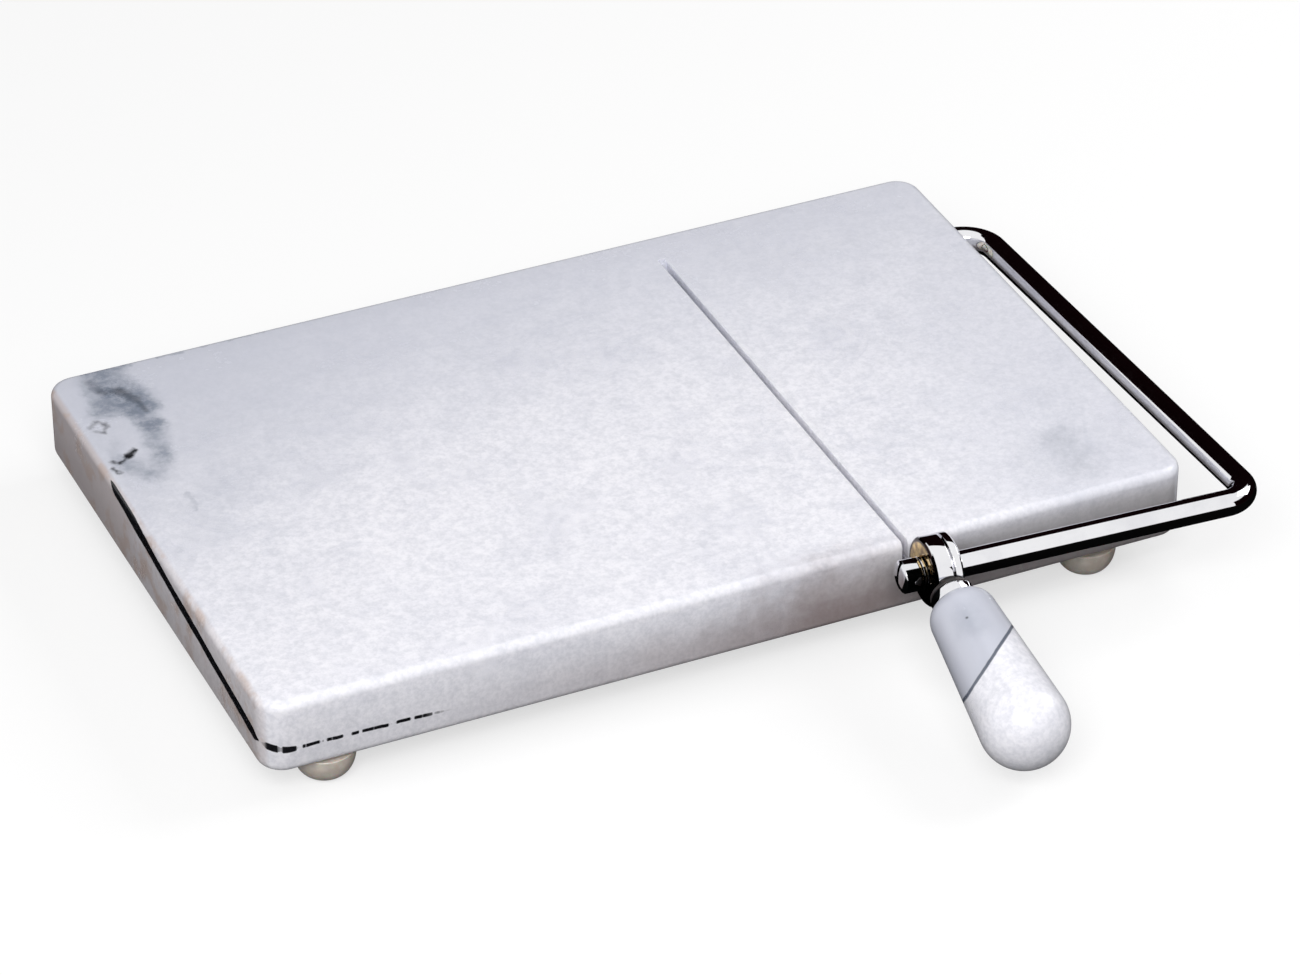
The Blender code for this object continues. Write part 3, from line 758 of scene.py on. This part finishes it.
def board_marble():
    """Board stone greyer behind, left and right, partly its own tone and partly painted shade; with
    smudges, sides with stains and painted shade, and a dark seam.
    """
    made, tree, shader, where = material("board_marble")
    base, grain = stone_base(tree, where)
    x, y, z = split(tree, where)
    wobble = noise(tree, where, 120, 5, 0.65)
    # Partly greyer stone, partly painted shade: greyer towards the back left, on the top and the left
    # end, where less light falls
    back_left = maths(tree, "SUBTRACT", times(tree, y, 1.2), x)
    shade = span(tree, plus(tree, back_left, times(tree, wobble, 40 * MM)), 50 * MM, 200 * MM)
    base = paint(tree, base, STONE_GREY, shade, 0.6)
    # Painted shade: the top darker still towards the back left
    on_top = span(tree, z, 12 * MM, 16 * MM)
    base = paint(tree, base, STONE_SMUDGE, shade, on_top, 0.2)
    # Painted shade: the top greyer towards the back, where less light falls, and towards the right
    # end, to temper the right lamp's light
    rear = span(tree, plus(tree, y, times(tree, wobble, 30 * MM)), 0.0, 80 * MM, 0.0, 0.65)
    right = times(tree, span(tree, x, 35 * MM, 95 * MM, 0.0, 0.45), on_top)
    base = paint(tree, base, STONE_GREY, maths(tree, "MAXIMUM", rear, right))
    base = smudged(tree, where, base)
    base = stained_and_shaded_sides(tree, where, wobble, base)
    base = paint(tree, base, STONE_BLACK, board_seam(tree, where))
    polish(tree, shader, where, base, grain)
    return made


def handle_marble():
    """Handle stone: greyer from the hub down to a dark vein across it, with a small dark pit."""
    made, tree, shader, where = material("handle_marble")
    base, grain = stone_base(tree, where)
    wobble = noise(tree, where, 160, 4, 0.6)
    distance = measure(tree, "DOT_PRODUCT", where, VEIN_ACROSS)
    above = span(tree, distance, VEIN_LEVEL + 0.6 * MM, VEIN_LEVEL - 0.8 * MM)
    base = paint(tree, base, STONE_GREY, above, 0.95)
    base = paint(tree, base, STONE_SMUDGE, above, 0.1)
    vein = seam(tree, where, VEIN_ACROSS, VEIN_LEVEL, 0.24 * MM, 0.4 * MM)
    base = paint(tree, base, STONE_SHADE, vein, 0.9)
    base = paint(tree, base, STONE_SMUDGE, spot(tree, where, HANDLE_STAIN, wobble), 0.3)
    base = paint(tree, base, STONE_BLACK, spot(tree, where, HANDLE_PIT, wobble, 0.5))
    polish(tree, shader, where, base, grain)
    return made


def painted_end_reflection(tree, where, tint):
    """Painted reflection on the hub's flat end: gold and brown, darker towards its rim and its foot.
    """
    down, _, into_hub = split(tree, where)
    radius = measure(tree, "LENGTH", vectors(tree, "MULTIPLY", where, (1, 1, 0)))
    on_end = span(tree, into_hub, 0.45 * MM, 0.25 * MM)
    outer = span(tree, radius, 5.9 * MM, 6.5 * MM)
    rim = maths(tree, "MAXIMUM", outer, span(tree, down, -1 * MM, 1 * MM))
    blotches = span(tree, noise(tree, where, 500, 3, 0.6), 0.4, 0.65)
    brown = mix(tree, blotches, END_REFLECTION_PALE, END_REFLECTION_BROWN)
    return mix(tree, on_end, tint, mix(tree, rim, brown, END_REFLECTION_DARK))


def chrome(name, with_painted_reflection=False):
    """Polished chrome with faint haze and smears, and if asked a painted reflection on the hub's flat
    end.
    """
    made, tree, shader, where = material(name)
    haze = span(tree, noise(tree, where, 90, 4, 0.6), 0.4, 0.75)
    tint = mix(tree, haze, CHROME_BRIGHT, CHROME_HAZE)
    # Painted reflection on the hub's flat end, with a dark rim and a dark lower side
    if with_painted_reflection:
        tint = painted_end_reflection(tree, where, tint)
    smears = noise(tree, stretched(tree, where, (60, 400, 400)), 1, 5, 0.6)
    roughness = span(tree, smears, 0.4, 0.8, 0.03, 0.09)
    fill(tree, shader, {"Metallic": 1, "Base Color": tint, "Roughness": roughness})
    bump(tree, shader, noise(tree, where, 260, 2, 0.5), 0.05, 0.05 * MM)
    return made


def lined_metal(name, stretch, detail, dark, bright, roughness, strength, depth):
    """Bright metal with the fine lines that drawing or turning leaves."""
    made, tree, shader, where = material(name)
    lines = noise(tree, stretched(tree, where, stretch), 1, detail, 0.6)
    tint = mix(tree, span(tree, lines, 0.3, 0.7), dark, bright)
    uneven = span(tree, lines, 0.3, 0.7, *roughness)
    fill(tree, shader, {"Metallic": 1, "Base Color": tint, "Roughness": uneven})
    bump(tree, shader, lines, strength, depth)
    return made


def drawn_steel():
    """Steel with lines along the wire."""
    along_wire = (9000, 60, 9000)
    roughness = (0.22, 0.4)
    return lined_metal(
        "drawn_steel", along_wire, 4, STEEL_DARK, STEEL_BRIGHT, roughness, 0.15, 0.01 * MM
    )


def turned_brass():
    """Brass with lines round its axis."""
    round_axis = (40, 40, 4000)
    roughness = (0.2, 0.38)
    return lined_metal(
        "turned_brass", round_axis, 3, BRASS_DARK, BRASS_BRIGHT, roughness, 0.2, 0.02 * MM
    )


def nylon(name, dark, pale):
    """Smooth plastic with faint clouds between two colours."""
    made, tree, shader, where = material(name)
    cloud = noise(tree, where, 500, 4, 0.6)
    inputs = {
        "Base Color": mix(tree, span(tree, cloud, 0.3, 0.7), dark, pale),
        "Roughness": span(tree, cloud, 0.3, 0.7, 0.42, 0.55),
        "Subsurface Weight": 0.15,
        "Subsurface Scale": 1 * MM,
    }
    fill(tree, shader, inputs)
    bump(tree, shader, noise(tree, where, 2400, 3, 0.5), 0.1, 0.02 * MM)
    return made


def soft_bumper():
    """Cloudy, slightly see-through plastic of the feet, with dust on it."""
    made, tree, shader, where = material("soft_bumper")
    cloud = noise(tree, where, 260, 4, 0.6)
    tint = mix(tree, span(tree, cloud, 0.3, 0.7), BUMPER_DARK, BUMPER_PALE)
    dust = span(tree, noise(tree, where, 3000, 2, 0.5), 0.6, 0.75)
    inputs = {
        "Base Color": paint(tree, tint, BUMPER_DUST, dust, 0.25),
        "Roughness": span(tree, cloud, 0.3, 0.7, 0.3, 0.42),
        "Subsurface Weight": 0.4,
        "Subsurface Scale": 2 * MM,
    }
    fill(tree, shader, inputs)
    bump(tree, shader, noise(tree, where, 1800, 3, 0.5), 0.08, 0.03 * MM)
    return made


# Pieces


def board_piece(look):
    """Slab with rounded corners and edges, the saw cut with its broken lip, and the hinge's bore."""
    half = BOARD_SIZE / 2
    shape = bmesh.new()
    size = Matrix.Diagonal((*BOARD_SIZE, 1))
    bmesh.ops.create_cube(shape, size=1, matrix=Matrix.Translation((0, 0, half.z)) @ size)
    upright = [edge for edge in shape.edges if abs(edge.verts[0].co.z - edge.verts[1].co.z) > MM]
    curve = {"profile": ROUND_PROFILE, "affect": "EDGES"}
    bmesh.ops.bevel(shape, geom=upright, offset=CORNER_RADIUS, segments=ARC_STEPS, **curve)
    level = [edge for edge in shape.edges if abs(edge.verts[0].co.z - edge.verts[1].co.z) < GAP]
    bmesh.ops.bevel(shape, geom=level, offset=EDGE_RADIUS, segments=EDGE_STEPS, **curve)
    board = to_object("board_stone", shape)

    floor = BOARD_SIZE.z - KERF_DEPTH
    stop = PIVOT_IN_BOARD.y - KERF_STOP_BEFORE_PIVOT
    top = BOARD_SIZE.z + OVERRUN
    front = -half.y - OVERRUN
    rise = math.degrees(math.asin((top - floor) / KERF_BLADE_RADIUS - 1))
    blade = arc((stop, floor + KERF_BLADE_RADIUS), KERF_BLADE_RADIUS, KERF_BLADE_RADIUS, -90, rise)
    cut = extruded("kerf", [(front, floor), *blade, (front, top)], KERF_WIDTH / 2)
    cut.location.x = KERF_X

    end = stop + math.sqrt(KERF_BLADE_RADIUS**2 - (KERF_BLADE_RADIUS - KERF_DEPTH) ** 2)
    low_width = KERF_WIDTH / 2 - GAP
    low = BOARD_SIZE.z - KERF_LIP - GAP
    top_width = low_width + top - low
    slopes = [(-low_width, low), (low_width, low), (top_width, top), (-top_width, top)]
    lip = extruded("kerf_lip", slopes, (end - front) / 2)
    lip.location = (KERF_X, (front + end) / 2, 0)
    lip.rotation_euler = (0, 0, math.pi / 2)

    flange_floor = -BUSH_FLANGE_THICKNESS - GAP
    bore_floor = KERF_X - LEG_PAST_WIRE - half.x - 2 * GAP
    flange_seat = (BUSH_FLANGE_RADIUS + GAP, flange_floor)
    bore = drill("bore", OVERRUN, flange_seat, (BORE_RADIUS, bore_floor))
    bore.location = (half.x, PIVOT_IN_BOARD.y, PIVOT_IN_BOARD.z)
    bore.rotation_euler = (0, math.pi / 2, 0)
    carve(board, cut, lip, bore)
    keep(board, "board", look, "marble_board", place=BOARD_FRAME)


def bush_pieces(look):
    """Flanged bush in the mouth of the bore, and a plain one next to the saw cut."""
    across = Matrix.Rotation(math.pi / 2, 4, "Y")
    flanged = rounded(
        [
            (BUSH_INNER_RADIUS, 0, FINE_EDGE),
            (BUSH_FLANGE_RADIUS, 0, FINE_EDGE),
            (BUSH_FLANGE_RADIUS, -BUSH_FLANGE_THICKNESS, FINE_EDGE),
            (BUSH_OUTER_RADIUS, -BUSH_FLANGE_THICKNESS, 0),
            (BUSH_OUTER_RADIUS, -BUSH_LENGTH, FINE_EDGE),
            (BUSH_INNER_RADIUS, -BUSH_LENGTH, FINE_EDGE),
        ]
    )
    mouth = Matrix.Translation((BOARD_HIGH.x, PIVOT.y, PIVOT.z)) @ across
    outer = turned("outer_bush", flanged, closed=True)
    keep(outer, "board", look, "pivot_bush_outer", place=mouth)
    start = BOARD_MIDDLE.x + KERF_X + KERF_WIDTH / 2 + 2 * GAP
    seat = Matrix.Translation((start, PIVOT.y, PIVOT.z)) @ across
    inner = sleeve("inner_bush", BUSH_INNER_RADIUS, BUSH_OUTER_RADIUS, 0, BUSH_LENGTH, FINE_EDGE)
    keep(inner, "board", look, "pivot_bush_inner", place=seat)


def foot_pieces(look):
    """Domed bumpers, each with a thin adhesive rim at the stone."""
    for name in ("foot_front_left", "foot_front_right", "foot_rear_left", "foot_rear_right"):
        low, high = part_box(name)
        radius = (high.x - low.x) / 2
        height = high.z - low.z
        dome_radius = radius - FOOT_FLAT_RADIUS
        dome_centre = (FOOT_FLAT_RADIUS, -FOOT_SIDE_HEIGHT)
        dome = arc(dome_centre, dome_radius, height - FOOT_SIDE_HEIGHT, 0, -90)
        profile = [(0, 0), (radius - FOOT_RIM, 0), (radius, -FOOT_RIM), *dome, (0, -height)]
        foot = turned(name + "_bumper", profile)
        middle = ((low.x + high.x) / 2, (low.y + high.y) / 2, high.z)
        keep(foot, "board", look, name, place=Matrix.Translation(middle))


def bow_routes():
    """The rod's centre line, and the wire's start, direction and loop, in the bow's plane."""
    into_bow = BOW.inverted()
    leg = (into_bow.to_3x3() @ CLAMP_AXIS).normalized()
    face = into_bow @ HUB_FACE
    loop_centre = face - leg * WIRE_ROOM
    rod_end = face - leg * (2 * WIRE_ROOM)
    front_corner = face - leg * ((SIDE_X - face.x) / -leg.x)
    rear_corner = Vector((SIDE_X, 0, 0))
    start = Vector((KERF_X - LEG_PAST_WIRE, 0, 0))
    bend_steps = 2 * ARC_STEPS
    rod = [
        start,
        *bend(start, rear_corner, front_corner, REAR_BEND_RADIUS, bend_steps),
        *bend(rear_corner, front_corner, rod_end, FRONT_BEND_RADIUS, bend_steps),
        rod_end,
    ]
    wire_start = Vector((KERF_X, 0, 0))
    wire_direction = (loop_centre - Vector((0, 0, LOOP_RADIUS)) - wire_start).normalized()
    return rod, wire_start, wire_direction, loop_centre


ROD_ROUTE, WIRE_START, WIRE_DIRECTION, LOOP_CENTRE = bow_routes()
WIRE_TURN = WIRE_DIRECTION.to_track_quat("Z", "Y").to_matrix().to_4x4()


def bow_piece(look):
    """The bent rod, with the wire's cross hole, the crimp's seat and the screw's hole."""
    bar = tube("bow_bar", ROD_ROUTE, ROD_RADIUS)
    crimp_floor = CRIMP_LENGTH / 2 - REAR_CRIMP_OFFSET + GAP
    through = 2 * ROD_RADIUS
    crimp_seat = (CRIMP_RADIUS + GAP, -through)
    hole = drill("wire_hole", through, (WIRE_ROOM, crimp_floor), crimp_seat)
    hole.matrix_world = Matrix.Translation(WIRE_START) @ WIRE_TURN
    screw_hole = drill("screw_hole", SCREW_REACH + 2 * GAP, (SCREW_RADIUS + GAP, -OVERRUN))
    screw_hole.matrix_world = BOW.inverted() @ CLAMP @ Matrix.Translation((0, 0, 2 * WIRE_ROOM))
    carve(bar, hole, screw_hole)
    keep(bar, "arm", look, "bow_rod", place=BOW)


def wire_pieces(look):
    """Taut wire from the crimp through the saw cut to its loop round the clamp screw."""
    crimp_centre = WIRE_START - WIRE_DIRECTION * REAR_CRIMP_OFFSET
    turn = (BOW.inverted() @ CLAMP).to_3x3()
    angles = [math.radians(LOOP_DEGREES * step / LOOP_STEPS) for step in range(LOOP_STEPS + 1)]
    loop = [
        LOOP_CENTRE + turn @ Vector((math.cos(angle), -math.sin(angle), 0)) * LOOP_RADIUS
        for angle in angles
    ]
    route = [crimp_centre - WIRE_DIRECTION * (CRIMP_LENGTH / 2), *loop]
    wire = tube("taut_wire", route, WIRE_RADIUS, WIRE_RESOLUTION)
    keep(wire, "arm", look, "cutting_wire", place=BOW)
    half = CRIMP_LENGTH / 2
    edge = 0.1 * MM
    waist = CRIMP_RADIUS - 0.12 * MM
    profile = [
        (WIRE_ROOM, half),
        (CRIMP_RADIUS - edge, half),
        (CRIMP_RADIUS, half - edge),
        (CRIMP_RADIUS, half / 2),
        (waist, half / 3),
        (waist, -half / 3),
        (CRIMP_RADIUS, -half / 2),
        (CRIMP_RADIUS, edge - half),
        (CRIMP_RADIUS - edge, -half),
        (WIRE_ROOM, -half),
    ]
    seat = BOW @ Matrix.Translation(crimp_centre) @ WIRE_TURN
    crimp = turned("crimped_sleeve", profile, closed=True)
    keep(crimp, "arm", look, "wire_crimp", place=seat)


def hub_piece(look):
    """Grooved drum with softened edges, the wire's slot, and the flat and hole for the handle."""
    bore = ROD_RADIUS + GAP
    groove_end = GROOVE_START + GROOVE_WIDTH
    corners = [
        (bore, HUB_LENGTH),
        (HUB_RADIUS - HUB_CHAMFER, HUB_LENGTH),
        (HUB_RADIUS, HUB_LENGTH - HUB_CHAMFER),
        (HUB_RADIUS, groove_end),
        (GROOVE_RADIUS, groove_end),
        (GROOVE_RADIUS, GROOVE_START),
        (HUB_RADIUS, GROOVE_START),
        (HUB_RADIUS, HUB_CHAMFER),
        (HUB_RADIUS - HUB_CHAMFER, 0),
        (bore, 0),
    ]
    hub = turned("hub_drum", rounded([(*corner, FINE_EDGE) for corner in corners]), closed=True)
    top = HUB_RADIUS + OVERRUN
    slot_low = (LOOP_RADIUS - WIRE_ROOM, 0, -OVERRUN)
    slot = block("wire_slot", slot_low, (LOOP_RADIUS + WIRE_ROOM, top, 2 * WIRE_ROOM))
    seat = CLAMP.inverted() @ HANDLE
    flat = block("hub_flat", (-HUB_LENGTH, -HUB_RADIUS, HUB_FLAT), (HUB_LENGTH, HUB_RADIUS, top))
    flat.matrix_world = seat
    hole = drill("stud_hole", top, (STUD_RADIUS + GAP, 0))
    hole.matrix_world = seat
    carve(hub, slot, flat, hole)
    keep(hub, "arm", look, "wire_hub", place=CLAMP)


def clamp_pieces(look):
    """Washer, and the domed slotted screw with its thread."""
    washer_start = -GAP - CLAMP_WASHER_THICKNESS
    hole = SCREW_RADIUS + GAP
    washer = sleeve("wire_washer", hole, SCREW_HEAD_RADIUS, washer_start, -GAP, SCREW_EDGE)
    keep(washer, "clamp_ring", look, "clamp_washer", place=CLAMP)

    head = washer_start - GAP
    side = head - SCREW_HEAD_SIDE
    end = side - SCREW_HEAD_DOME
    dome = arc((0, side), SCREW_HEAD_RADIUS, SCREW_HEAD_DOME, 0, -90)
    rim = rounded([(0, head, 0), (SCREW_HEAD_RADIUS, head, SCREW_EDGE), (SCREW_HEAD_RADIUS, side, 0)])
    screw = turned("domed_screw", [*rim[:-1], *dome[:-1], (0, end)])
    across = SCREW_HEAD_RADIUS + OVERRUN
    half_slot = SCREW_SLOT_WIDTH / 2
    slot_floor = end + SCREW_SLOT_DEPTH
    slot = block("driver_slot", (-across, -half_slot, end - OVERRUN), (across, half_slot, slot_floor))
    carve(screw, slot)
    keep(screw, "clamp_knob", look, "clamp_screw", place=CLAMP)
    tip = 2 * WIRE_ROOM + SCREW_REACH
    thread = threaded("screw_thread", SCREW_RADIUS, SCREW_PITCH, head, tip)
    keep(thread, "clamp_knob", look, "clamp_screw", place=CLAMP)


def handle_pieces(stone, chrome_look, steel_look, washer_look, brass_look):
    """Threaded stud, washer, ferrule, brass insert and the stone grip, along the handle's axis."""
    hole = STUD_RADIUS + GAP
    stud = threaded("threaded_stud", STUD_RADIUS, STUD_PITCH, ROD_RADIUS + GAP, STUD_END)
    keep(stud, "arm", steel_look, "handle_stud", place=HANDLE)

    start = HUB_FLAT + GAP
    end = start + HANDLE_WASHER_THICKNESS
    washer = sleeve("grip_washer", hole, HANDLE_WASHER_RADIUS, start, end, FINE_EDGE)
    keep(washer, "arm", washer_look, "handle_washer", place=HANDLE)

    start = end + GAP
    end = start + FERRULE_LENGTH
    profile = rounded(
        [
            (hole, end, FINE_EDGE),
            (FERRULE_FRONT_RADIUS, end, FERRULE_EDGE),
            (FERRULE_REAR_RADIUS, start, FERRULE_EDGE),
            (hole, start, FINE_EDGE),
        ]
    )
    ferrule = turned("grip_ferrule", profile, closed=True)
    keep(ferrule, "arm", chrome_look, "handle_ferrule", place=HANDLE)

    start = end + GAP
    insert_start = start + GAP
    insert_end = insert_start + INSERT_LENGTH
    insert = sleeve("brass_insert", hole, INSERT_RADIUS, insert_start, insert_end, FINE_EDGE)
    keep(insert, "arm", brass_look, "handle_insert", place=HANDLE)

    shoulder = start + SHOULDER_LENGTH
    taper = math.degrees(math.asin((BALL_RADIUS - SHOULDER_RADIUS) / (BALL_CENTRE - shoulder)))
    ball = arc((0, BALL_CENTRE), BALL_RADIUS, BALL_RADIUS, 90, -taper, 3 * ARC_STEPS)
    neck = arc((NECK_RADIUS, shoulder), SHOULDER_RADIUS - NECK_RADIUS, SHOULDER_LENGTH, 0, -90)
    grip_hole = INSERT_RADIUS + GAP
    hole_end = insert_end + GAP
    inside = [(grip_hole, start), (grip_hole, hole_end), (0, hole_end)]
    grip = turned("stone_grip", [(0, ball[0][1]), *ball[1:], *neck, *inside])
    keep(grip, "arm", stone, "marble_handle", place=HANDLE)


# Studio


def card_surface():
    """Nearly black studio card, a little redder further out."""
    made, tree, shader, where = material("card_dark")
    outer = span(tree, measure(tree, "LENGTH", where), 0.1, 1.2)
    tint = mix(tree, outer, CARD_NEAR, CARD_FAR)
    fill(tree, shader, {"Base Color": tint, "Roughness": 1.0, "Specular IOR Level": 0})
    return made


def seen_by_eye(tree):
    """1 for rays that show the background: camera, mirror and glass rays."""
    path = node(tree, "LightPath").outputs
    shown = maths(tree, "MAXIMUM", path["Is Camera Ray"], path["Is Glossy Ray"])
    return maths(tree, "MAXIMUM", shown, path["Is Transmission Ray"])


def white_table():
    """Large floor that stays white to the eye, keeps a soft shadow and gives little light back."""
    shape = bmesh.new()
    bmesh.ops.create_grid(shape, x_segments=1, y_segments=1, size=TABLE_REACH)
    table = to_object("table", shape)
    made = bpy.data.materials.new("table_white")
    made.use_nodes = True
    tree = made.node_tree
    tree.nodes.remove(tree.nodes["Principled BSDF"])
    lit = node(tree, "BsdfDiffuse", {"Color": TABLE_LIT}).outputs[0]
    glow = node(tree, "Emission", {"Color": PURE_WHITE, "Strength": 1.0}).outputs[0]
    shown = node(tree, "MixShader", {0: TABLE_GLOW, 1: lit, 2: glow}).outputs[0]
    bounce = node(tree, "BsdfDiffuse", {"Color": TABLE_BOUNCE}).outputs[0]
    both = node(tree, "MixShader", {0: seen_by_eye(tree), 1: bounce, 2: shown}).outputs[0]
    fill(tree, tree.nodes["Material Output"], {"Surface": both})
    table.data.materials.append(made)


def curved_card(name, radius, azimuths, low, high):
    """A curved wall between two heights and two azimuths, which turn from Y towards X."""
    start, end = azimuths
    shape = bmesh.new()
    pairs = []
    for step in range(CARD_STEPS + 1):
        azimuth = math.radians(start + (end - start) * step / CARD_STEPS)
        x = radius * math.sin(azimuth)
        y = radius * math.cos(azimuth)
        pairs.append((shape.verts.new((x, y, low)), shape.verts.new((x, y, high))))
    for (foot, head), (next_foot, next_head) in zip(pairs, pairs[1:]):
        shape.faces.new((foot, next_foot, next_head, head))
    return to_object(name, shape)


def dark_cards():
    """Dark walls, hood and ground that only mirrors see, with the ceiling left open."""
    hood = curved_card("card_screw", HOOD_RADIUS, HOOD_AZIMUTHS, HOOD_LOW, HOOD_HIGH)
    hood.matrix_world = CLAMP
    cards = [hood]
    for name, azimuths, top in CARD_WALLS:
        height = CARD_DISTANCE * math.tan(math.radians(top))
        cards.append(curved_card(name, CARD_DISTANCE, azimuths, CARD_LIFT, height))
    shape = bmesh.new()
    bmesh.ops.create_grid(
        shape, x_segments=GROUND_STEPS, y_segments=GROUND_STEPS, size=CARD_DISTANCE
    )
    ground = to_object("card_ground", shape)
    ground.location.z = CARD_LIFT
    look = card_surface()
    for card in (*cards, ground):
        card.data.materials.append(look)
        card.visible_camera = False
        card.visible_diffuse = False
        card.visible_shadow = False
        card.visible_transmission = False


def area_lamp(name, place, size, power):
    """A soft rectangular lamp that points at the board."""
    data = bpy.data.lights.new(name, "AREA")
    data.shape = "RECTANGLE"
    data.size, data.size_y = size
    data.energy = power
    lamp = bpy.data.objects.new(name, data)
    bpy.context.scene.collection.objects.link(lamp)
    lamp.location = place
    lamp.rotation_euler = (LAMP_TARGET - Vector(place)).to_track_quat("-Z", "Y").to_euler()


def sky():
    """Light from all round: white to the eye, and dimmer on the right for everything else."""
    world = bpy.data.worlds.new("studio")
    bpy.context.scene.world = world
    world.use_nodes = True
    tree = world.node_tree
    side = split(tree, node(tree, "TexCoord").outputs["Generated"])[0]
    dim = span(tree, side, -SKY_TURN, SKY_TURN, SKY_LEFT, SKY_RIGHT)
    limits = {"Value": seen_by_eye(tree), "To Min": dim, "To Max": 1.0}
    strength = node(tree, "MapRange", limits).outputs[0]
    fill(tree, tree.nodes["Background"], {"Color": PURE_WHITE, "Strength": strength})


def studio():
    """White table, dark cards, a lamp at the front and one at the right, and the sky."""
    white_table()
    dark_cards()
    for lamp in LAMPS:
        area_lamp(*lamp)
    sky()


def camera():
    """The photograph's camera."""
    data = bpy.data.cameras.new("camera")
    data.sensor_width = CAMERA_SENSOR
    data.lens = CAMERA_LENS
    data.clip_start = CAMERA_NEAR
    item = bpy.data.objects.new("camera", data)
    bpy.context.scene.collection.objects.link(item)
    item.location = BOARD_FRAME @ CAMERA_PLACE
    item.rotation_euler = (CAMERA_TARGET - CAMERA_PLACE).to_track_quat("-Z", "Y").to_euler()
    bpy.context.scene.camera = item


chrome_look = chrome("chrome")
steel_look = drawn_steel()
nylon_look = nylon("nylon", NYLON_DARK, NYLON_PALE)
washer_look = nylon("smoked_nylon", SMOKED_DARK, SMOKED_PALE)
board_piece(board_marble())
bush_pieces(nylon_look)
foot_pieces(soft_bumper())
bow_piece(chrome_look)
wire_pieces(steel_look)
# The hub's chrome carries a painted reflection on its flat end
hub_piece(chrome("chrome_with_painted_reflection", with_painted_reflection=True))
clamp_pieces(chrome_look)
handle_pieces(handle_marble(), chrome_look, steel_look, washer_look, turned_brass())
studio()
camera()
bpy.context.scene.view_settings.view_transform = "Standard"
